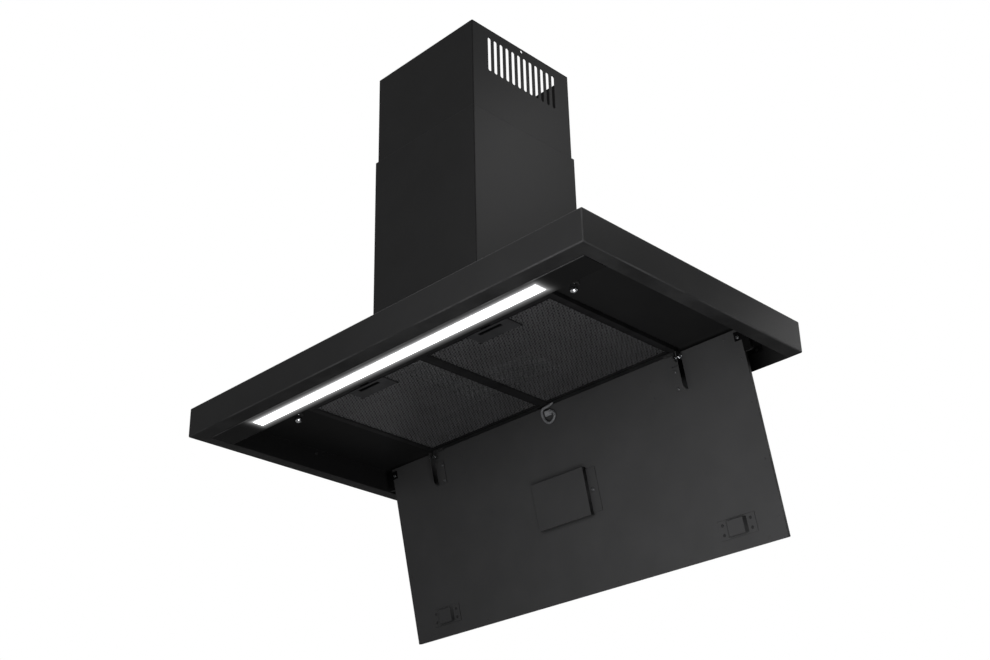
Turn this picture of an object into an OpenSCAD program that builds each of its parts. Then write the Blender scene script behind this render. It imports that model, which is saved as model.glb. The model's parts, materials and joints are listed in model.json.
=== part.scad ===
// Chimney range hood: a flat canopy under a two-section chimney, with a recess for two grease filters,
// a light strip along the front and a hinged suction panel that hangs open below the recess.
// Lengths are in millimetres and angles in degrees. X runs to the right, Y to the rear and Z up.
// The origin is the centre of the hanging frame's top face, and heights are counted from the
// canopy's bottom edge.

/* [Show] */
// Piece to make, or all of them

/* [Canopy] */
// Width from side to side
canopy_w = 900; // [700:5:1200]
// Depth from front to rear
canopy_d = 500; // [460:5:700]
// Height of the canopy
canopy_h = 53; // [50:0.5:80]
// Thickness of the canopy's sheet
canopy_sheet = 1.2; // [0.8:0.1:2]
// Outer radius of the upright corners
corner_r = 2.5; // [2.2:0.1:6]
// Width of the turned-in bottom edge at the front
rim_front = 28; // [15:1:40]
// Width of the turned-in bottom edge at the sides
rim_side = 25; // [15:1:40]
// Height of the hanging frame's top above the canopy's bottom edge
hang_h = 520; // [480:5:530]

/* [Recess] */
// Thickness of the recess sheet
liner_sheet = 1; // [0.6:0.1:1.5]
// Height of the space above the recess ceiling
air_room = 10.8; // [10:0.1:13]
// Distance from the canopy's front to the recess
recess_front = 75; // [70:1:85]
// Width of the feet on the recess side walls
liner_foot = 14; // [6:1:20]
// Distance of the screw in each side wall below the ceiling
wall_screw_drop = 8; // [6:1:20]
// Distance of that screw behind the middle
wall_screw_y = 5; // [0:1:40]
// Width of each rear tie bracket
tie_w = 20; // [12:1:30]
// Distance of each rear tie bracket from the recess's side
tie_side = 55; // [35:1:120]
// Length of the tie bracket's leg on the ceiling
tie_top = 22; // [15:1:30]
// Length of the tie bracket's leg on the rear skin
tie_drop = 12; // [8:1:20]
// Thickness of the tie bracket
tie_t = 1.5; // [1:0.1:2]

/* [Light] */
// Length of the light strip
light_len = 650; // [500:5:700]
// Width of the light strip
light_w = 23; // [15:0.5:24]
// Distance from the canopy's front to the light strip
light_front = 40; // [38:0.5:42]
// Gap around the light's mounting plate
light_gap = 1; // [0.5:0.1:2]
// Height of the mounting plate's front fold
light_fold = 12; // [6:1:16]
// Width of the diffuser's hidden edge
diffuser_lip = 3; // [1.5:0.1:4]
// Thickness of the diffuser's hidden edge
diffuser_t = 2; // [1:0.1:3]
// Play around the diffuser in its slot
light_play = 0.2; // [0.1:0.05:0.4]
// Height of the cover over the light
light_box_h = 12; // [8:0.5:16]
// Width of the light board
led_w = 11; // [8:0.5:14]
// Thickness of the light board
led_t = 1.6; // [1:0.1:2]
// Side of one light chip
led_chip = 3; // [2:0.1:4]
// Height of one light chip
led_chip_t = 0.8; // [0.5:0.1:1.2]
// Number of light chips
led_count = 26; // [10:1:40]

/* [Filters] */
// Distance from the recess's side to the filters
field_side = 153; // [151:1:180]
// Distance from the canopy's front to the filters
field_front = 127.6; // [120:0.1:135]
// Distance from the filters to the canopy's rear skin
field_rear = 96.5; // [90:0.1:110]
// Width of the filter frame's bars
bezel_w = 10; // [8:0.5:12]
// Width of the bar between the filters
divider_w = 16; // [12:0.5:20]
// Drop of the filter frame below the ceiling
bezel_drop = 8; // [7:0.1:9]
// Play around each filter
filter_gap = 0.5; // [0.4:0.1:1]
// Play above each filter
filter_top_gap = 0.3; // [0.3:0.1:0.6]
// Width of the filter's own bars
filter_bar = 3; // [2.8:0.1:4]
// Thickness of the lips that hold the mesh
filter_lip = 1; // [0.6:0.1:1.5]
// Depth of the groove that holds the mesh
mesh_groove = 2; // [1:0.1:2]
// Width of the ceiling's lip over each filter
seat_lip = 6; // [4:0.5:8]
// Radius of the filter's pivot pegs
peg_r = 1.5; // [1:0.1:2]
// Length of the filter's pivot pegs
peg_len = 4; // [2:0.5:6]

/* [Filter latch] */
// Width of the latch plate
latch_w = 85; // [60:1:110]
// Depth of the latch plate
latch_d = 32; // [20:0.5:36]
// Thickness of the latch plate
latch_t = 0.8; // [0.6:0.1:1.2]
// Corner radius of the latch plate
latch_r = 4; // [2:0.5:6]
// Width of the finger slot
finger_w = 48; // [40:1:52]
// Depth of the finger slot
finger_d = 7; // [5:0.5:8]
// Width of the latch slider
slider_w = 60; // [55:1:64]
// Depth of the latch slider
slider_d = 8; // [6:0.5:8]
// Thickness of the latch slider
slider_t = 1.5; // [1:0.1:2]
// Width of the latch tongue
tongue_w = 18; // [10:1:24]
// Reach of the tongue past the filter's front edge
tongue_reach = 3.1; // [2:0.1:3.5]
// Travel of the latch
latch_travel = 4; // [3.6:0.1:4.2]
// Free space around sliding pieces
slide_gap = 0.4; // [0.3:0.05:0.6]

/* [Panel] */
// Distance from each side guide to the recess's side
panel_side_gap = 13; // [8:0.5:30]
// Distance from the recess's front to the closed panel
panel_front_gap = 19; // [12:1:40]
// Thickness of the hinged panel
panel_t = 6; // [5:0.1:8]
// Thickness of the panel's two sheets
panel_sheet = 1.2; // [0.8:0.1:1.5]
// Corner radius of the panel
panel_r = 1.5; // [1.3:0.1:4]
// Angle that the panel hangs open
panel_open = 102.2; // [80:0.1:105]
// Radius of the small rivet heads on the panel
dot_r = 1.8; // [1:0.1:3]
// Height of the small rivet heads on the panel
dot_t = 0.6; // [0.4:0.1:1]
// Distance of the top and bottom rivet rows from the panel's edge
dot_edge = 7; // [4:0.5:10]
// Distance from the hinge arm to the inner rivets
brace_side = 65.8; // [40:0.1:90]

/* [Panel hinge] */
// Distance of the hinge line behind the filters
hinge_behind = 6.5; // [6:0.1:7]
// Drop of the hinge line below the filter frame
hinge_drop = 9.6; // [9:0.1:10.5]
// Distance of the hinge line from the panel's rear edge
hinge_back = 9.2; // [8:0.1:10]
// Distance of the hinge line from the panel's inner face
hinge_off = 6.3; // [6:0.1:7]
// Length of the hinge arm along the panel
arm_len = 61; // [40:1:90]
// Height of the hinge arm
arm_h = 13; // [11:0.5:14]
// Thickness of the hinge arm
arm_t = 1.5; // [1:0.1:1.6]
// Radius of the arm's lower corner
arm_r = 8; // [4:0.5:10]
// Width of the arm's foot
arm_foot = 20; // [14:1:24]
// Distance from the panel's edge to the arm's foot
arm_foot_start = 20; // [18:1:26]
// Space between the filter frame and the hinge arm
arm_gap = 0.8; // [0.5:0.1:1.5]
// Distance from the panel's edge to the arm's first rivet
arm_rivet_start = 28; // [26:1:34]
// Spacing of the arm's two rivets
arm_rivet_pitch = 28; // [20:1:30]
// Thickness of the fixed hinge bracket
bracket_t = 2; // [1.5:0.1:2]
// Width of the fixed hinge bracket's foot
bracket_foot = 20; // [15:1:24]
// Thickness of the fixed hinge bracket's foot
bracket_foot_t = 1.5; // [1:0.1:1.5]
// Radius of the ear around the pin
ear_r = 5.5; // [4.5:0.1:5.6]
// Distance from the arm to the fixed bracket
bracket_gap = 5.8; // [4:0.1:8]
// Radius of the hinge pin
pin_r = 2.5; // [2:0.1:3]
// Radius of the hinge pin's head
pin_head_r = 4.75; // [4:0.05:5.5]
// Thickness of the hinge pin's head
pin_head_t = 2.5; // [1.5:0.1:3]
// Radius of the hinge pin's closed end
pin_tail_r = 3.1; // [2.8:0.1:4]
// Running clearance around a pin
pin_play = 0.05; // [0.02:0.01:0.09]

/* [Catches] */
// Distance of each catch from the panel's side
stud_side = 81.5; // [70:0.5:84]
// Distance from the canopy's front to the ball studs
stud_front = 129.5; // [120:0.5:140]
// Radius of the ball stud's ball
ball_r = 6.5; // [5:0.1:6.5]
// Drop of the ball's centre below the ceiling
ball_drop = 11.5; // [11:0.1:11.5]
// Radius of the stud's stem
stem_r = 3.5; // [2:0.1:4]
// Radius of the stud's hexagon
hex_r = 9; // [6:0.1:10]
// Thickness of the stud's hexagon
hex_t = 4; // [2:0.1:4.5]
// Length of thread above the ceiling
thread_len = 6; // [4:0.5:8]
// Width of the catch's base plate
catch_base_w = 68; // [60:1:76]
// Depth of the catch's base plate
catch_base_d = 30; // [25:1:36]
// Thickness of the catch's base plate
catch_base_t = 1; // [0.8:0.1:1.5]
// Width of the catch's housing at its foot
catch_foot_w = 40; // [34:1:44]
// Width of the catch's housing at its top
catch_top_w = 28.5; // [20:0.5:32]
// Depth of the catch's housing
catch_len = 24; // [18:1:28]
// Height of the catch's housing
catch_h = 5.5; // [4.5:0.1:5.5]
// Wall of the catch's housing
catch_wall = 1; // [0.8:0.1:1.2]
// Spacing of the catch's rivets across the panel
catch_pitch_x = 51.5; // [45:0.5:60]
// Spacing of the catch's rivets down the panel
catch_pitch_v = 15; // [10:0.5:22]

/* [Controls] */
// Width of the cover over the controls
cover_w = 115; // [90:1:140]
// Depth of the cover
cover_d = 80; // [60:1:100]
// Height of the cover
cover_h = 9; // [6:0.5:9.5]
// Sheet of the cover
cover_sheet = 1; // [0.6:0.1:1.5]
// Distance from the panel's rear edge to the cover
cover_start = 122; // [100:1:140]
// Distance of the cover to the left of the panel's middle
cover_shift = 4; // [0:0.5:5]
// Width of the cover's screw tab
cover_tab = 19; // [16:0.5:24]
// Width of the cover's hook on the other side
cover_hook = 6; // [5:0.5:10]
// Distance of the cover's screw from the cover's side
cover_screw_side = 7.5; // [6.5:0.1:8]
// Length of the cover's screw tab
cover_tab_len = 74; // [30:1:78]
// Width of the touch window
window_w = 80; // [50:1:90]
// Depth of the touch window
window_d = 44; // [30:1:60]
// Thickness of the touch window
window_t = 1.6; // [1.4:0.1:2.2]
// Thickness of the control board
board_t = 1.6; // [1:0.1:1.6]
// Margin of the control board around the window
board_margin = 6; // [4:0.5:8]
// Height of the parts on the control board
board_part_h = 7; // [4:0.5:9]

/* [Panel cable] */
// Radius of the cable
cable_r = 2.2; // [1.8:0.1:2.2]
// Width of the plug
plug_w = 14; // [10:0.5:14]
// Depth of the plug
plug_d = 9; // [7:0.5:10]
// Height of the plug
plug_h = 5; // [4.5:0.1:6]
// Half width of the notch that lets the cable through
cable_notch = 19; // [18:0.5:24]
// Distance of the cable's grommet behind the filters
grommet_behind = 7.5; // [7:0.1:8]
// Outer radius of the grommet in the ceiling
grommet_r = 2.9; // [2.7:0.1:3.1]
// Radius of the grommet's flanges
grommet_flange_r = 3.2; // [3:0.1:3.6]
// Radius of the grommet's bore
grommet_bore_r = 2.4; // [2.25:0.05:2.6]
// Thickness of the grommet's flanges
grommet_t = 0.7; // [0.5:0.1:0.8]

/* [Side guides] */
// Width of each side guide past the panel
guide_w = 13.5; // [8:0.5:20]
// Length of each side guide
guide_len = 33; // [20:1:45]
// Distance from the panel's rear edge to the guide
guide_start = 5; // [2:0.5:12]
// Width of the guide's lip on the panel
guide_lip = 12.5; // [8:0.5:16]
// Thickness of the guide's lip
guide_lip_t = 1.5; // [1:0.1:2]
// Length of the guide's lip
guide_lip_len = 14; // [10:0.5:16]

/* [Chimney] */
// Space between the two sections
chimney_room = 2; // [1:0.1:3]
// Length of the upper section
upper_len = 400; // [380:5:450]
// Height of the upper section's top
upper_top = 627; // [620:1:640]
// Outer width of the lower section
lower_w = 246; // [240:0.5:270]
// Height of the lower section's top
lower_top = 451; // [430:1:460]
// Sheet of both sections
chimney_sheet = 1; // [0.8:0.1:1.2]
// Outer radius of the chimney's upright edges
chimney_r = 2; // [1.5:0.1:4]
// Width of the lower section's bottom flange
chimney_flange = 11; // [10:0.5:11]
// Height of the hem folded in at the lower section's top
hem_h = 12; // [6:0.5:20]
// Play between the hem and the upper section
hem_play = 0.4; // [0.3:0.05:0.8]
// Number of vents on each side
vent_count = 12; // [6:1:14]
// Spacing of the vents
vent_pitch = 14.4; // [12:0.1:16]
// Width of one vent
vent_w = 7; // [4:0.5:9]
// Length of one vent
vent_len = 69; // [40:1:90]
// Distance of the vents below the chimney's top
vent_top = 18; // [16:1:40]
// Distance of the fixing hole below the chimney's top
fixing_top = 6; // [5:0.5:10]
// Radius of the fixing hole
fixing_r = 2.5; // [1.5:0.1:3]

/* [Fan box] */
// Space between the corner rails and the upper section
frame_gap = 9; // [6:0.5:16]
// Height of the fan box
box_h = 280; // [270:1:290]
// Sheet of the fan box
box_sheet = 1; // [0.8:0.1:1.5]
// Width of the ledge around the opening into the fan box
plenum_ledge = 13; // [12:1:30]
// Space between the fan's scroll and the box
scroll_gap = 7; // [6:0.5:13]
// Space between the scroll's side and the box
scroll_side = 45; // [42:1:49]
// Wall of the scroll
scroll_wall = 2; // [1.5:0.1:3]
// Space between the outlet and the chamber's wall
chamber_play = 3.5; // [3:0.5:8]
// Height of the chamber above the scroll
chamber_h = 74; // [70:1:78]
// Lap of the scroll's side over the wheel
inlet_lap = 15; // [13:0.5:25]
// Offset of the fan wheel forward and down in the scroll
wheel_shift = 10; // [6:0.5:12]
// Difference between the radius of the scroll and of the wheel
wheel_gap = 25; // [23:0.5:32]
// Space beside the fan wheel
wheel_side = 8; // [6:0.5:20]
// Radial length of the blades
blade_len = 12; // [8:0.5:14]
// Thickness of the blades
blade_t = 1; // [0.8:0.1:1.5]
// Number of blades
blade_count = 30; // [20:1:44]
// Thickness of the wheel's disc
disc_t = 2; // [1.5:0.1:3]
// Radius of the wheel's hub
hub_r = 10; // [8:0.5:14]
// Length of the wheel's hub
hub_len = 16; // [10:1:20]
// Space between the motor and the fan's inlet
motor_gap = 18; // [16:0.5:26]
// Length of the motor
motor_len = 58; // [50:1:60]
// Space between the wheel's hub and the motor
motor_space = 6; // [4:0.5:10]
// Thickness of the motor's closed end
motor_end = 10; // [6:0.5:14]
// Space between the shaft's end and the motor's closed end
shaft_end_gap = 2; // [1:0.1:3]
// Radius of the motor's shaft
shaft_r = 4; // [3:0.1:5]
// Thickness of the motor's spider
spider_t = 2.5; // [2:0.1:3]
// Width of the spider's ring
spider_ring = 10; // [8:0.5:12]
// Width of the spider's arms
spider_arm = 14; // [10:0.5:18]
// Radius of the capacitor
capacitor_r = 15; // [12:0.5:18]
// Space between the capacitor and the scroll
capacitor_gap = 3; // [2:0.5:12]
// Distance of the capacitor in front of the middle
capacitor_front = 60; // [40:1:80]
// Height of the capacitor above the canopy's top
capacitor_rise = 30; // [20:1:60]

/* [Outlet] */
// Distance from the collar's flange to the fan box's side
collar_gap = 20; // [19:0.1:26]
// Wall of the outlet collar
collar_wall = 2; // [1.5:0.1:2.5]
// Height of the outlet collar
collar_h = 50; // [40:1:60]
// Width of the collar's flange
collar_flange = 13.5; // [10:0.5:18]
// Thickness of the collar's flange
collar_flange_t = 2; // [1.5:0.1:3]
// Height of the flaps' rod above the fan box
flap_rise = 14; // [12:0.5:20]
// Radius of the flaps' rod
rod_r = 1.5; // [1.2:0.1:2]
// Outer radius of the flaps' knuckles
knuckle_r = 3; // [2.8:0.1:3.4]
// Length of each knuckle
knuckle_len = 18; // [12:0.5:19]
// Thickness of the flaps
flap_t = 1.5; // [1:0.1:2]
// Width of the ledge that the flaps rest on
ledge_w = 5; // [3:0.5:8]
// Thickness of the ledge
ledge_t = 2; // [1:0.1:3]
// Play around the flaps
flap_play = 0.7; // [0.5:0.1:1.5]
// Drop of the flaps below their rod's middle
flap_drop = 0.2; // [0.1:0.1:0.5]
// Running clearance of the knuckles around the rod
knuckle_play = 0.08; // [0.04:0.01:0.09]

/* [Hanging frame] */
// Leg of each corner rail
rail_leg = 20; // [15:1:25]
// Thickness of the corner rails
rail_t = 2; // [1.5:0.1:2]
// Thickness of the top plate
top_t = 3; // [2:0.1:5]
// Width of the top plate's border
top_border = 20; // [18:1:24]
// Distance of the hanging bolts from the top plate's edge
hang_inset = 12; // [12:1:15]
// Radius of the hanging bolt holes
hang_hole_r = 4.5; // [3:0.1:5]
// Height of the lower frame bolts above the canopy's top
bolt_low = 30; // [20:1:60]
// Distance of the upper frame bolts below the box's top
bolt_top = 30; // [20:1:80]
// Radius of the frame bolts
bolt_r = 2.5; // [2:0.1:3]
// Radius of the frame bolts' heads
bolt_head_r = 5; // [4:0.1:6]
// Thickness of the frame bolts' heads
bolt_head_t = 3.5; // [2:0.1:4]

/* [Fasteners] */
// Radius of the small screws
screw_r = 1.6; // [1.2:0.1:2]
// Radius of the small screws' heads
screw_head_r = 3; // [2.4:0.1:3.4]
// Height of the small screws' heads
screw_head_t = 1.8; // [1:0.1:2]
// Length of the small screws
screw_len = 5; // [4:0.5:6]
// Radius of a rivet
rivet_r = 1.5; // [1:0.1:1.8]
// Radius of a rivet's head
rivet_head_r = 2.5; // [2:0.1:3]
// Height of a rivet's head
rivet_head_t = 1; // [0.6:0.1:1.2]

/* [Electrics] */
// Length of the power box
power_w = 110; // [80:1:120]
// Width of the power box
power_d = 100; // [60:1:120]
// Distance from the recess's side to the power box
power_side = 15; // [5:1:23]
// Distance of the power box's front edge behind the middle
power_y = -40; // [-60:1:0]
// Wall of the power box
power_wall = 0.8; // [0.6:0.1:1.2]
// Space between the power box and the canopy's top
power_room = 1; // [0.5:0.1:2]
// Height of the power board's posts
post_h = 2.2; // [1.5:0.1:3]
// Radius of the power board's posts
post_r = 2.5; // [2:0.1:4]
// Distance of the posts from the power box's faces
post_inset = 7.5; // [6:0.5:12]
// Distance of the cable gland from the box's sides
gland_inset = 25; // [24.5:0.5:26]
// Radius of the cable gland's bore
gland_bore_r = 3.5; // [2.5:0.1:4]
// Radius of the cable gland's thread
gland_thread_r = 6; // [5:0.1:7]
// Radius of the cable gland's hexagon
gland_hex_r = 9; // [8:0.1:10]
// Height of the cable gland above the fan box
gland_h = 16; // [12:0.5:24]
// Length of the gland's thread below the box top
gland_thread = 6; // [4:0.5:10]

/* [Hidden] */
$fn = 48;
// Overrun of every cut
cut = 1;
// Sides of a hexagon
hex_sides = 6;
// A half, as a share
half_share = 0.5;
// Share of a fastener's head taken by its neck
neck_share = 0.5;
// Share of the ear's radius that its stem has in front
ear_share = 0.9;
// Places of the hinge screws, as shares of the bracket's foot
hinge_screw_shares = [0.75, 0.3];
// Place of the arm's rivets, as a share of its foot
arm_rivet_share = 0.8;
// Places of the panel's rivets, as shares of its half width and of its depth
dot_top_shares = [0.1844, 0.5533, 0.9197];
dot_side_shares = [0.1451, 0.3611, 0.6296, 0.8981];
// Place of a frame bolt, as a share of the rail's leg
bolt_share = 0.4;
// Place of the guide's screw, as a share of its lip
guide_screw_share = 0.6;
// Parts on the power board, as shares of its box: two in length and two in width for each
power_part_shares = [[0.1, 0.35, 0.2, 0.6], [0.5, 0.8, 0.15, 0.35]];
// Parts on the control board, as shares of the board, counted from its middle
board_part_shares = [[-0.4, -0.15, -0.3, 0.1], [0.1, 0.35, -0.35, -0.1]];
// Places of the flaps' knuckles, as shares of the flaps' radius
knuckle_left_shares = [-0.8356, 0.3064];
knuckle_right_shares = [-0.5571, 0.585];

// Colours
black_sheet = [0.10, 0.10, 0.11];
black_liner = [0.06, 0.06, 0.065];
black_plastic = [0.05, 0.05, 0.05];
grey_metal = [0.45, 0.46, 0.48];
zinc = [0.70, 0.71, 0.73];
chrome = [0.85, 0.86, 0.88];
mesh_grey = [0.20, 0.20, 0.21];
lit_white = [0.95, 0.97, 1.0];
board_green = [0.10, 0.30, 0.15];
cable_grey = [0.42, 0.42, 0.44];
glass_black = [0.02, 0.02, 0.025];
fan_grey = [0.60, 0.61, 0.63];

// Edges of the canopy and of its recess
canopy_front = -canopy_d / 2;
skin_rear = canopy_d / 2 - canopy_sheet;
recess_x = canopy_w / 2 - rim_side;
rim_y = canopy_front + rim_front;
lip_y = canopy_front + recess_front;
plate_low = canopy_h - canopy_sheet;
ceiling_top = plate_low - air_room;
ceiling_h = ceiling_top - liner_sheet;
tie_x = recess_x - tie_side;
wall_screw_h = ceiling_h - wall_screw_drop;

// Light strip
plate_x = recess_x - light_gap;
plate_y = rim_y + light_gap;
light_y0 = canopy_front + light_front;
light_y1 = light_y0 + light_w;
light_x = light_len / 2;
light_cover_x = light_x + diffuser_lip + 2 * light_gap;
light_cover_y0 = light_y0 - diffuser_lip - 2 * light_gap;
light_cover_y1 = light_y1 + diffuser_lip + 2 * light_gap;

// Filters: the field, one filter and its pivot line
field_x = recess_x - field_side;
field_y0 = canopy_front + field_front;
field_y1 = skin_rear - field_rear;
frame_low = ceiling_h - bezel_drop;
filter_top = ceiling_h - filter_top_gap;
filter_t = filter_top - frame_low;
filter_x0 = divider_w / 2 + filter_gap;
filter_x1 = field_x - filter_gap;
filter_mid = (filter_x0 + filter_x1) / 2;
filter_y0 = field_y0 + filter_gap;
filter_axis_y = field_y1 - filter_gap - filter_t / 2;
filter_axis_z = frame_low + filter_t / 2;
mesh_x0 = filter_x0 + filter_bar - mesh_groove;
mesh_x1 = filter_x1 - filter_bar + mesh_groove;
mesh_y0 = filter_y0 + filter_bar - mesh_groove;
mesh_y1 = filter_axis_y - filter_bar + mesh_groove;
mesh_low = frame_low + filter_lip;
mesh_high = filter_top - filter_lip;

// Latch: the tray behind its plate, the slider and the tongue
bar_rear = filter_y0 + filter_bar;
latch_y1 = filter_y0 + latch_d;
tray_wall = latch_t;
tray_high = filter_top - filter_lip;
slider_y0 = bar_rear + slide_gap;
slider_y1 = slider_y0 + slider_d;
slider_z0 = frame_low + slider_t;
slider_z1 = slider_z0 + slider_t;
finger_y0 = bar_rear + slider_t;
finger_y1 = finger_y0 + finger_d;
tongue_y0 = filter_y0 - tongue_reach;
notch_y0 = tongue_y0 - slider_t;

// Hinge along X: panel arm, fixed bracket and pin
arm_x0 = field_x + bezel_w + arm_gap;
arm_x1 = arm_x0 + arm_t;
bracket_x1 = arm_x0 - bracket_gap;
bracket_x0 = bracket_x1 - bracket_t;
bracket_y1 = field_y1 + bezel_w;
hinge_y = field_y1 + hinge_behind;
hinge_h = frame_low - hinge_drop;
hinge_screw_y = (field_y1 + bracket_y1) / 2;

// Panel, and the rivet places on it: across, and down its sides
panel_x = recess_x - panel_side_gap - guide_w;
panel_w = 2 * panel_x;
panel_d = hinge_y + hinge_back - lip_y - panel_front_gap;
dot_top_x = [for (s = dot_top_shares) s * panel_w / 2];
dot_side_v = [for (s = dot_side_shares) s * panel_d];
dot_side_x = panel_x - dot_edge - dot_r;
arm_rivet_v = [arm_rivet_start, arm_rivet_start + arm_rivet_pitch];
arm_rivet_x = arm_x0 - arm_foot * arm_rivet_share;
brace_rivet_x = arm_x0 - brace_side;
stud_x = panel_x - stud_side;
stud_y = canopy_front + stud_front;
ball_h = ceiling_h - ball_drop;
catch_v = hinge_back + hinge_y - stud_y;

// Controls
cover_v1 = cover_start + cover_d;
cover_mid = cover_start + cover_d / 2;
board_w = window_w + 2 * board_margin;
board_d = window_d + 2 * board_margin;
board_low = window_t - panel_t;
cover_x0 = -cover_w / 2 - cover_shift;
cover_x1 = cover_w / 2 - cover_shift;
cover_screw_x = cover_x1 + cover_screw_side;

// Cable on the panel: across, down the panel and off its inner face
cable_route = [
    [13, -6.8, 1.8], [12.6, -4.2, 2.4], [11, -1.4, 3.2], [7.5, 0.8, 4.4], [3, 2, 5.6], [-2, 2.6, 6.4],
    [-5.6, 3.4, 6.9], [-8.8, 5.4, 7], [-10.6, 9, 6.6], [-11.2, 14, 5.8], [-10.8, 19, 4.8],
    [-9, 23.6, 3.8], [-5.6, 27.4, 3.2], [-1.2, 29.4, 3], [4, 28.8, 3], [8.8, 26, 3], [12, 21.8, 3],
    [12.6, 17.4, 3], [11, 14, 3], [8.8, 12, 3], [6, 12, 3]
];
cable_sides = 10;
cable_last = len(cable_route) - 1;
cable_pts = [for (p = cable_route) [p[0], -p[1], p[2]]];
plug_x1 = cable_route[cable_last][0];
plug_v = cable_route[cable_last][1];
grommet_x = cable_route[0][0];
grommet_y = field_y1 + grommet_behind;

// Chimney and what stands in it
canopy_top = canopy_h;
lower_in = lower_w - 2 * chimney_sheet;
upper_w = lower_in - 2 * chimney_room;
upper_in = upper_w - 2 * chimney_sheet;
vent_high = upper_top - vent_top;
vent_low = vent_high - vent_len;
fixing_h = upper_top - fixing_top;
chimney_screw = lower_in / 2 - chimney_flange / 2;
hem_in = upper_w + 2 * hem_play;
box_x = upper_in / 2 - frame_gap - rail_t;
box_in = box_x - box_sheet;
box_top = canopy_top + box_h;
plenum_open = 2 * (box_x - plenum_ledge);
scroll_r = box_in - scroll_gap;
scroll_w = 2 * (box_in - scroll_side);
scroll_z = canopy_top + scroll_r + scroll_gap;
wheel_r = scroll_r - wheel_gap;
wheel_w = scroll_w - 2 * (scroll_wall + wheel_side);
inlet_r = wheel_r - inlet_lap;
wheel_y = -wheel_shift;
wheel_z = scroll_z - wheel_shift;
chamber_y1 = scroll_r;
chamber_z1 = box_top - box_sheet;
chamber_z0 = chamber_z1 - chamber_h;
motor_r = inlet_r - motor_gap;
motor_x0 = hub_len / 2 + motor_space;
motor_x1 = motor_x0 + motor_len;
shaft_x1 = motor_x1 - motor_end - shaft_end_gap;
capacitor_len = scroll_side - capacitor_gap;
capacitor_y = -capacitor_front;
capacitor_z = canopy_top + capacitor_rise;
flap_z = box_top + flap_rise;
collar_flange_r = box_x - collar_gap;
collar_r = collar_flange_r - collar_flange;
collar_in = collar_r - collar_wall;
chamber_x = collar_in + chamber_play;
flap_r = collar_in - flap_play;
flap_start = knuckle_r + slide_gap;
flap_high = flap_z - flap_drop;
flap_low = flap_high - flap_t;
knuckle_bore = rod_r + knuckle_play;
knuckle_left = [for (s = knuckle_left_shares) s * flap_r];
knuckle_right = [for (s = knuckle_right_shares) s * flap_r];
rail_x = box_x + rail_t;
bolt_x = box_x - rail_leg * bolt_share;
bolt_high = box_h - bolt_top;
top_open = 2 * (box_x - top_border);
hang_pitch = 2 * (box_x - hang_inset);
gland_x = box_x - gland_inset;

// Power box in the space above the ceiling
power_x1 = recess_x - power_side;
power_x = power_x1 - power_w;
power_y1 = power_y + power_d;
power_z1 = plate_low - power_room;
power_board_z = ceiling_top + power_wall + post_h;

// Placing and shaping helpers
module in_hood() {
    translate([0, 0, -hang_h]) children();
}

module on_panel() {
    in_hood() translate([0, hinge_y, hinge_h]) rotate([panel_open, 0, 0])
        translate([0, hinge_back, -hinge_off]) children();
}

module both_sides() {
    children();
    mirror([1, 0, 0]) children();
}

module four_corners(p) {
    for (x = [-1, 1], y = [-1, 1]) translate([x * p, y * p, 0]) children();
}

module block(x0, x1, y0, y1, z0, z1) {
    translate([x0, y0, z0]) cube([x1 - x0, y1 - y0, z1 - z0]);
}

// A block on the panel, placed by distance down the panel and off its inner face
module panel_block(x0, x1, v0, v1, o0, o1) {
    block(x0, x1, -v1, -v0, o0, o1);
}

module rod_x(x0, x1, y, z, r) {
    translate([x0, y, z]) rotate([0, 90, 0]) cylinder(h = x1 - x0, r = r);
}

module rod_y(y0, y1, x, z, r) {
    translate([x, y0, z]) rotate([-90, 0, 0]) cylinder(h = y1 - y0, r = r);
}

module rod_z(z0, z1, x, y, r) {
    translate([x, y, z0]) cylinder(h = z1 - z0, r = r);
}

module rounded_flat(w, d, r) {
    square([w, d - 2 * r], center = true);
    square([w - 2 * r, d], center = true);
    for (x = [-1, 1], y = [-1, 1]) translate([x * (w / 2 - r), y * (d / 2 - r)]) circle(r);
}

module rounded_box(w, d, h, r) {
    linear_extrude(h) rounded_flat(w, d, r);
}

// Fixed canopy
module canopy_shell() {
    color(black_sheet) in_hood() difference() {
        rounded_box(canopy_w, canopy_d, canopy_h, corner_r);
        translate([0, 0, canopy_sheet])
            rounded_box(canopy_w - 2 * canopy_sheet, canopy_d - 2 * canopy_sheet,
                canopy_h - 2 * canopy_sheet,
                corner_r - canopy_sheet);
        block(-recess_x, recess_x, rim_y, skin_rear, -cut, canopy_sheet + cut);
        translate([-plenum_open / 2, -plenum_open / 2, plate_low - cut]) cube([plenum_open, plenum_open,
            canopy_h]);
        four_corners(chimney_screw) rod_z(plate_low - cut, canopy_h + cut, 0, 0, screw_r);
        both_sides() rod_y(skin_rear - cut, canopy_d / 2 + cut, tie_x, ceiling_h - tie_drop / 2 - tie_t / 2,
            rivet_r);
    }
}

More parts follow.
